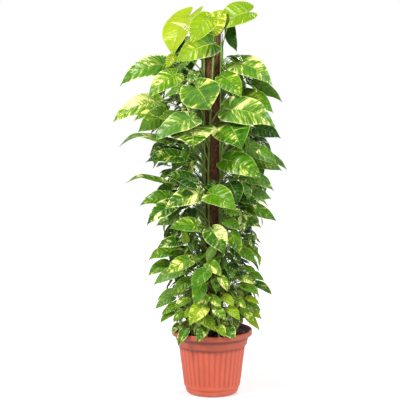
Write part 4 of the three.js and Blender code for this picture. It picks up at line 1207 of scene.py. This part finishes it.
def place_young(stems, leaves):
    """Young leaves between the others, where they cross nothing."""
    room = Room(stems, leaves)
    rng = np.random.default_rng(YOUNG_SEED)
    crown = np.array(CROWN).T
    young = []
    for low, high, count, small, large in YOUNG_LEAVES:
        placed = 0
        for _ in range(count * YOUNG_TRIES):
            leaf = young_leaf(stems, low, high, small, large, rng)
            edge = np.array([(0, 0), (1, 0), (0.5, 0)] + leaf.sides())
            points = np.vstack([leaf.points(edge[:, 0], edge[:, 1]), leaf.points(edge[:, 0], -edge[:, 1])])
            radius = np.hypot(points[:, 0], points[:, 1])
            if np.any(radius > np.interp(points[:, 2], *crown)) or in_holder(points):
                continue
            if not bares_pole(points) or not room.takes(*leaf_net(leaf)):
                continue
            young.append(leaf)
            placed += 1
            if placed == count:
                break
        print("young leaves from", low, "placed", placed, "of", count)
    return young


def add_tube(build, path, radii, sides, level, node, shift=0):
    """A stem or a stalk: level says how fresh it is along its run, and node where its bark is dry."""
    around = np.tile(np.linspace(0, 1, sides, endpoint=False), len(path)) + shift
    where = np.stack([np.repeat(level, sides), around, np.repeat(node, sides)], axis=1)
    build.add(*tube(path, radii, sides), stem_uv=where)


def add_leaf(blades, stalks, leaf, index, order):
    """One leaf's blade and stalk. A young leaf's are plainer."""
    draw, look = look_of(leaf, index)
    points, faces, marks, rim = rolled_blade(leaf) if leaf.look == "spear" else blade(leaf, draw)
    start = blades.count
    blades.add(drawn_in(points, leaf.base), faces, leaf_uv=marks, **look)
    blades.sharp.update(tuple(sorted((p + start, q + start))) for p, q in rim)
    share = np.linspace(0, 1, 9 if leaf.young else 17)
    if leaf.young:
        swell = 1 + 0.4 * np.exp(-share / 0.1) - 0.2 * share
    else:
        swell = 1 + 0.55 * np.exp(-share / 0.08) - 0.18 * share + 0.2 * bell(share - 0.95, 0.04)
    level = 0.4 + 0.6 * share if leaf.young else 0.35 + 0.65 * share
    sides = 5 if leaf.young else 8
    path = leaf.stalk(len(share) - 1)
    add_tube(stalks, path, leaf.stalk_radius() * swell, sides, level, np.exp(-share / 0.05), order)


def make_young_pieces(young, material, stalk_skin):
    """The young leaves in three storeys, each with its blades and its stalks."""
    for name, low, high in YOUNG_STOREYS:
        blades = Build()
        stalks = Build()
        for index, leaf in enumerate(young):
            if low <= leaf.base[2] < high:
                add_leaf(blades, stalks, leaf, YOUNG_LOOK_SEED + index, index)
        blades.finish(f"young_leaves_{name}", material, "foliage")
        stalks.finish(f"young_stalks_{name}", stalk_skin, "foliage")


def make_stem_piece(stem, leaves, material, stalk_skin):
    """A stem with its stalks as one piece, and its blades as another."""
    blades = Build()
    stalks = Build()
    for index, leaf in leaves:
        add_leaf(blades, stalks, leaf, index, index)
    heights = np.linspace(SOIL_EDGE - STEM_BURY + 2, stem.tip, max(12, int((stem.tip - 160) / 9)))
    off = np.array([min([abs(h - leaf.attach) for _, leaf in leaves] or [99]) for h in heights])
    path = np.array([stem.at(max(h, SOIL_CROWN + 4)) * [1, 1, 0] + [0, 0, h] for h in heights])
    thin = np.clip((stem.tip - heights) / 60, 0.35, 1)
    radii = (SHOOT_THICK if stem.shoot else VINE_THICK) * thin * (1 + 0.22 * bell(off, NODE_REACH))
    level = np.clip((heights - SOIL_EDGE) / FRESH_OVER, 0, 1) * (1 if stem.shoot else 0.5)
    add_tube(stalks, path, radii, 10, level, bell(off, NODE_REACH))
    if blades.count:
        blades.finish(stem.name + "_blades", material, "foliage", (stem.name,))
    stalks.finish(stem.name + "_stalks", stalk_skin, "foliage", () if blades.count else (stem.name,))


def make_roots(stems, material):
    """Short roots from the vines round to the pole's coir."""
    build = Build()
    for order, stem in enumerate(stems):
        if stem.shoot:
            continue
        draw = random_from(ROOT_SEED + order)
        height = SOIL_CROWN + 30
        while height < min(stem.tip, POLE_TOP) - 20:
            height += 22 + 40 * draw()
            side = 1 if draw() > 0.5 else -1
            foot = stem.at(height)
            azimuth = math.degrees(math.atan2(foot[0], -foot[1]))
            turn = side * (10 + 26 * draw())
            fall = 4 + 30 * draw()
            path = []
            for t in np.linspace(0, 1, 9):
                r = STEM_AROUND - 1 - (STEM_AROUND - POLE_RADIUS) * min(1, 2.2 * t) - 1.6 * max(0, t - 0.7)
                point = outward(azimuth + turn * t + 2 * math.sin(9 * t + height)) * (r + 0.3)
                point[2] = height - fall * t * t
                path.append(point)
            radii = np.linspace(1.1, 0.5, 9) * (0.8 + 0.5 * draw())
            build.add(*tube(path, radii, 5))
    build.finish("aerial_roots", material, "foliage")


# ---------------------------------------------------------------- pole

POLE_SIDES = 72
POLE_BORE = 14.5
FIBRES = 3600
TOP_FIBRES = 420
TWINE_PITCH = 118
# Each of the four threads of twine: which way it winds, and where it starts.
TWINES = ((1, 0.0), (1, math.pi), (-1, 0.6), (-1, math.pi + 0.6))


def pole_radius(angle, height):
    """The sleeve's lumpy surface under its fibres."""
    lump = 0.5 * math.sin(3 * angle + height / 41) + 0.45 * math.sin(7 * angle - height / 23)
    return POLE_RADIUS - 1.9 + 0.6 * lump


def make_sleeve(material):
    """The closed sleeve of coir, with its bore for the stake."""
    heights = [POT_FLOOR, *np.linspace(200, POLE_TOP - 6, 190), POLE_TOP - 2.5, POLE_TOP - 0.5, POLE_TOP]
    top = len(heights) - 1
    rounding = {top - 2: 1.0, top - 1: 2.2, top: 3.6}

    def radii_at(level, angles):
        if level > top:
            return POLE_BORE + 0 * angles
        return np.array([pole_radius(a, heights[level]) for a in angles]) - rounding.get(level, 0)

    sleeve = Build()
    sleeve.add(*lathe(heights + [POLE_TOP, POT_FLOOR], POLE_SIDES, radii_at, closed=True))
    sleeve.finish("coir_sleeve", material, "coir", ("coir_pole",))


def make_fibres(material):
    """Loose fibres over the sleeve, the first ones round its top."""
    rng = np.random.default_rng(FIBRE_SEED)
    fibres = Build()
    for i in range(FIBRES):
        top = i < TOP_FIBRES
        angle = rng.uniform(0, 2 * math.pi)
        height = POLE_TOP - rng.uniform(0, 26) if top else rng.uniform(222, POLE_TOP - 8)
        length = rng.uniform(10, 34)
        lean = rng.normal(0, 0.9)
        lift = rng.uniform(0.4, 2.4) if top else rng.uniform(0.2, 1.3)
        shade = rng.uniform(0, 1)
        path = []
        for t in np.linspace(0, 1, 5):
            a = angle + lean * (t - 0.5) * length / POLE_RADIUS + 0.04 * math.sin(7 * t + i)
            z = height + math.cos(lean) * length * (t - 0.5)
            z = min(z, POLE_TOP + (6 if top else 0))
            r = pole_radius(a, z) + lift * math.sin(math.pi * t) - 0.15
            if top and z > POLE_TOP - 4:
                r = min(r, POLE_RADIUS - 2 - 9 * rng.uniform(0, 1) * t)
            path.append(polar(r, a, z))
        fresh = shade * (0.6 if top else 0.12)
        fibres.add(*tube(path, np.full(5, rng.uniform(0.16, 0.34)), 3), fibre=(shade, fresh, 0))
    fibres.finish("coir_fibres", material, "coir")


def make_twine(material):
    """The threads that wind round the sleeve."""
    twine = Build()
    for turn, phase in TWINES:
        path = []
        for z in np.arange(214, POLE_TOP - 5, 5.0):
            a = phase + turn * 2 * math.pi * z / TWINE_PITCH
            path.append(polar(pole_radius(a, z) + 0.55 + (0.35 if turn > 0 else 0), a, z))
        twine.add(*tube(path, np.full(len(path), 0.62), 6))
    twine.finish("pole_twine", material, "coir")


# ---------------------------------------------------------------- pot and soil

# The pot's outer wall from its base up, and its inner wall from the lip down: radius, height, flute depth.
POT_WALL = [
    (84, 0, 0), (90, 0.6, 0), (94, 3, 0), (97, 6.5, 0), (98.6, 11, 0), (99.6, 18, 0), (100.3, 23.5, 0),
    (101.4, 25.2, 0), (104.2, 26.4, 0), (105.2, 28, 0), (105.7, 32, 0), (106.1, 36, 0.4), (106.5, 39.5, 2.2),
    (107.2, 44, 3), (109.5, 62, 3), (113, 90, 3), (116.6, 118, 3), (120, 146, 3), (122.6, 166, 3),
    (123.8, 175, 3), (124.3, 178.6, 2.8), (124.9, 180.6, 1.2), (127, 182.6, 0), (130.2, 184.8, 0),
    (131.5, 187.5, 0), (131.8, 190, 0), (133, 196, 0), (134.6, 203, 0), (136, 209.5, 0), (136.7, 212, 0),
    (138, 214.4, 0), (142, 217.6, 0), (146.8, 219.6, 0), (149.2, 221.3, 0), (150, 223.6, 0), (150, 232, 0),
    (149.9, 236.6, 0), (149.3, 238.8, 0), (148, 239.8, 0), (146.5, 240, 0), (145.2, 239.6, 0),
    (144.4, 238.2, 0), (144, 236, 0), (139.2, 228, 0), (134.3, 220, 0), (129.5, 212, 0),
    (127, 205, 0), (122.6, 192, 0), (118.5, 180, 0), (99, 33, 0), (88, 5, 0),
]
# The drain holes: their radius, how far from the middle, and the floor's thickness.
DRAIN_RADIUS = 6
DRAIN_AT = 52
DRAIN_FLOOR = 5
DRAIN_SIDES = 20
FLUTE_DEPTH = 3
# An edge of the pot that bends by more than this many degrees is drawn sharp.
SHARP_FROM = 42
SOIL_RIM = 134.2
SOIL_SIDES = 150
CRUMBS = 1500


def valley(angles):
    """Broad round ridges between narrow valleys, 1 in a valley's bottom."""
    return (0.5 - 0.5 * np.cos(FLUTES * angles)) ** 2.2


def lip_and_collar_shade(height):
    """How much painted shade the outer wall gets at a height: under the lip and the collar, and over the
    collar's band and the lip, where it is also the band's browner tone.
    """
    lip = bell(height - 214, 5) if height < 222 else 0
    line = 0.42 if 184 < height < 219 else 0.36 if height > 219 else 0
    return min(1, lip + 0.9 * bell(height - 178, 4.5) + line)


def add_floor(shape, vertices, count):
    """The pot's floor inside and outside, with its four drain holes."""
    rims = [vertices[:count], vertices[-count:]]
    edges = [[shape.edges.get((ring[k], ring[k - 1])) for k in range(count)] for ring in rims]
    for quarter in range(4):
        centre = outward(45 + 90 * quarter) * DRAIN_AT
        rings = []
        for level, height in enumerate((0, DRAIN_FLOOR)):
            places = [centre + polar(DRAIN_RADIUS, angle, height) for angle in angles_of(DRAIN_SIDES)]
            ring = [shape.verts.new(place * MM) for place in places]
            edges[level] += [shape.edges.new((ring[k], ring[k - 1])) for k in range(DRAIN_SIDES)]
            rings.append(ring)
        for k in range(DRAIN_SIDES):
            shape.faces.new([rings[0][k - 1], rings[0][k], rings[1][k], rings[1][k - 1]])
    for level in edges:
        bmesh.ops.triangle_fill(shape, use_beauty=True, edges=level, normal=(0, 0, 1))


def make_pot(material):
    """The pot's wall on both sides with its floor, and the marks that its material reads."""
    count = FLUTES * 8
    heights = [z for _, z, _ in POT_WALL]

    def radii_at(level, angles):
        return POT_WALL[level][0] - POT_WALL[level][2] * valley(angles)

    points, faces = lathe(heights, count, radii_at)
    shape = bmesh.new()
    vertices = [shape.verts.new(point * MM) for point in points]
    for face in faces:
        shape.faces.new([vertices[i] for i in face])
    add_floor(shape, vertices, count)
    bmesh.ops.recalc_face_normals(shape, faces=shape.faces)
    for face in shape.faces:
        face.smooth = True
    for edge in shape.edges:
        if edge.is_manifold and edge.calc_face_angle(0) > math.radians(SHARP_FROM):
            edge.smooth = False
    mesh = bpy.data.meshes.new("pot_shell")
    shape.to_mesh(mesh)
    shape.free()
    # how deep in a flute each point of the wall is, for painted shade in the flutes, how much painted shade
    # it gets under the lip and the collar, and how much painted shade darkens the inner wall
    lip = heights.index(POT_HEIGHT)
    wall = np.zeros((len(mesh.vertices), 3))
    for level, (_, height, depth) in enumerate(POT_WALL):
        ring = wall[level * count : (level + 1) * count]
        ring[:, 0] = depth / FLUTE_DEPTH * valley(angles_of(count))
        ring[:, 1] = lip_and_collar_shade(height) if level < lip else 0
        ring[:, 2] = clamp((239 - height) / 6) if level > lip else 0
    mark_points(mesh, "wall", wall)
    make_piece(mesh, material, ("pot",))


def soil_height(radius, angle):
    """The lumpy top of the soil."""
    x, y, _ = polar(radius, angle, 0)
    share = clamp((radius - POLE_RADIUS) / (SOIL_RIM - POLE_RADIUS))
    flat = SOIL_CROWN + (SOIL_EDGE - SOIL_CROWN) * share
    lump = math.sin(x / 9.1 + 1.3 * math.sin(y / 13)) * math.cos(y / 7.7 + 0.9 * math.sin(x / 17))
    small = math.sin(x / 3.1 + y / 4.7) * math.sin(y / 2.9 - x / 5.3)
    return flat - 0.6 + 1.5 * lump + 0.7 * small


def crumb_ball():
    """A ball of 20 triangles."""
    gold = (1 + math.sqrt(5)) / 2
    corners = [(0, a, b * gold) for a in (-1, 1) for b in (-1, 1)]
    ball = np.array([np.roll(corner, -k) for k in range(3) for corner in corners]) / math.hypot(1, gold)
    hull = bmesh.new()
    for corner in ball:
        hull.verts.new(corner)
    bmesh.ops.convex_hull(hull, input=hull.verts)
    hull.verts.index_update()
    faces = [[vertex.index for vertex in face.verts] for face in hull.faces]
    hull.free()
    return ball, faces


def make_soil(material):
    """The closed bed of soil, open in the middle for the pole."""
    inner = POLE_RADIUS + 0.8
    angles = angles_of(SOIL_SIDES)
    reach = np.linspace(inner, SOIL_RIM, 44)
    below = [(129, 212), (118, 180), (98.4, 33), (87.5, POT_FLOOR), (inner, POT_FLOOR)]
    points = [polar(r, a, soil_height(r, a)) for r in reach for a in angles]
    points += [polar(r, a, z) for r, z in below for a in angles]
    soil = Build()
    faces = ring_faces(len(reach) + len(below), SOIL_SIDES, closed=True)
    soil.add(points, [[first, *others[::-1]] for first, *others in faces])
    soil.finish("soil_bed", material, "soil", ("soil",))


def make_crumbs(material):
    """Crumbs of four sizes that lie on the soil."""
    rng = np.random.default_rng(CRUMB_SEED)
    ball, ball_faces = crumb_ball()
    crumbs = Build()
    for _ in range(CRUMBS):
        r = math.sqrt(rng.uniform(36**2, 131**2))
        a = rng.uniform(0, 2 * math.pi)
        size = rng.choice([0.9, 1.5, 2.4, 3.6], p=[0.4, 0.33, 0.2, 0.07]) * rng.uniform(0.8, 1.25)
        stretch = np.array([rng.uniform(0.8, 1.9), rng.uniform(0.7, 1.1), rng.uniform(0.4, 0.8)])
        bits = ball * (1 + rng.uniform(-0.22, 0.22, (12, 1))) * stretch * size
        spin = rng.uniform(0, 2 * math.pi)
        bits = bits @ [polar(1, spin, 0), polar(1, spin + math.pi / 2, 0), [0, 0, 1]]
        bits += polar(r, a, soil_height(r, a) + 0.15 * size)
        shade = rng.uniform(0, 0.8) if rng.uniform(0, 1) < 0.93 else rng.uniform(0.85, 1)
        crumbs.add(bits, ball_faces, crumb=(shade, 0, 0))
    crumbs.finish("soil_crumbs", material, "soil")


# ---------------------------------------------------------------- the whole plant

stems = []
for order, (azimuth, tip, sway) in enumerate(VINES):
    stems.append(Stem(f"vine_{order + 1:02d}", azimuth, tip, False, (order, sway)))
for order, (azimuth, away, tip, lean) in enumerate(SHOOTS):
    stems.append(Stem(f"shoot_{order + 1:02d}", azimuth, tip, True, (away, lean)))

leaves = place_leaves(stems)
numbered = {id(leaf): index for index, leaf in enumerate(leaves)}

blade_skin = leaf_material()
vine_skin = stem_material("vine_skin", (112, 152, 46), (84, 104, 42), (92, 66, 38))
shoot_skin = stem_material("shoot_skin", (126, 166, 56), (144, 160, 84), (112, 94, 50))
grained = {name: grained_material(name, *row) for name, row in GRAINED.items()}

for stem in stems:
    own = [(numbered[id(leaf)], leaf) for leaf in stem.leaves]
    make_stem_piece(stem, own, blade_skin, shoot_skin if stem.shoot else vine_skin)
make_young_pieces(place_young(stems, leaves), blade_skin, shoot_skin)
make_roots(stems, grained["aerial_root"])
make_sleeve(coir_material())
make_fibres(fibre_material())
make_twine(grained["pole_twine"])
make_pot(pot_material())
make_soil(soil_material())
make_crumbs(crumb_material())

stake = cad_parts["pole_stake"]
stake.data.materials.clear()
stake.data.materials.append(grained["stake_wood"])

# ---------------------------------------------------------------- studio

# Half the floor's side, and how far it lies below the pot, in metres.
FLOOR_SIZE = 14.0
FLOOR_BELOW = 0.0006
floor_mesh = bpy.data.meshes.new("studio_floor")
corners = [(x * FLOOR_SIZE, y * FLOOR_SIZE, -FLOOR_BELOW) for x, y in ((-1, -1), (1, -1), (1, 1), (-1, 1))]
floor_mesh.from_pydata(corners, [], [(0, 1, 2, 3)])
floor_mesh.materials.append(floor_material())
floor = add_object("studio_floor", floor_mesh)

# a white backdrop up to eye level and a dimmer ceiling
sky = Shade("studio", bpy.data.worlds, "Background")
height = sky.split(sky.node("ShaderNodeTexCoord").outputs["Generated"])[2]
dimmer = sky.node("ShaderNodeMapRange", Value=height, From_Min=0.1, From_Max=0.3, To_Min=1.0, To_Max=0.4)
bpy.context.scene.world = sky.finish(Color=(1, 1, 1, 1), Strength=dimmer.outputs[0])


def soft_light(name, place, aim_height, size, power):
    """A round lamp that looks at a height on the pole."""
    light = bpy.data.lights.new(name, "AREA")
    light.shape = "DISK"
    light.size = size
    light.energy = power
    lamp = add_object(name, light)
    lamp.location = place
    lamp.rotation_euler = (Vector((0, 0, aim_height)) - Vector(place)).to_track_quat("-Z", "Y").to_euler()


soft_light("key_light", (-2.6, -2.2, 3.6), 0.8, 1.0, 250)
soft_light("fill_light", (2.8, -2.2, 2.8), 0.8, 1.3, 130)
soft_light("rim_light", (1.2, 2.4, 3.2), 1.1, 1.1, 90)

# The camera looks down by its tilt in degrees, and this far to the left of the pole.
CAMERA_LENS = 112.5
CAMERA_TILT = 6.36
CAMERA_AIM_LEFT = 45
camera_data = bpy.data.cameras.new("camera")
camera_data.sensor_width = 36
camera_data.sensor_fit = "HORIZONTAL"
camera_data.lens = CAMERA_LENS
camera_data.clip_end = 100
camera = add_object("camera", camera_data)
camera.location = (0, -EYE_DISTANCE * MM, EYE_HEIGHT * MM)
tilt = math.radians(CAMERA_TILT)
yaw = math.atan2(CAMERA_AIM_LEFT, EYE_DISTANCE)
aim = Vector((-math.sin(yaw), math.cos(yaw) * math.cos(tilt), -math.sin(tilt)))
camera.rotation_euler = aim.to_track_quat("-Z", "Y").to_euler()
bpy.context.scene.camera = camera
bpy.context.scene.view_settings.view_transform = "Standard"
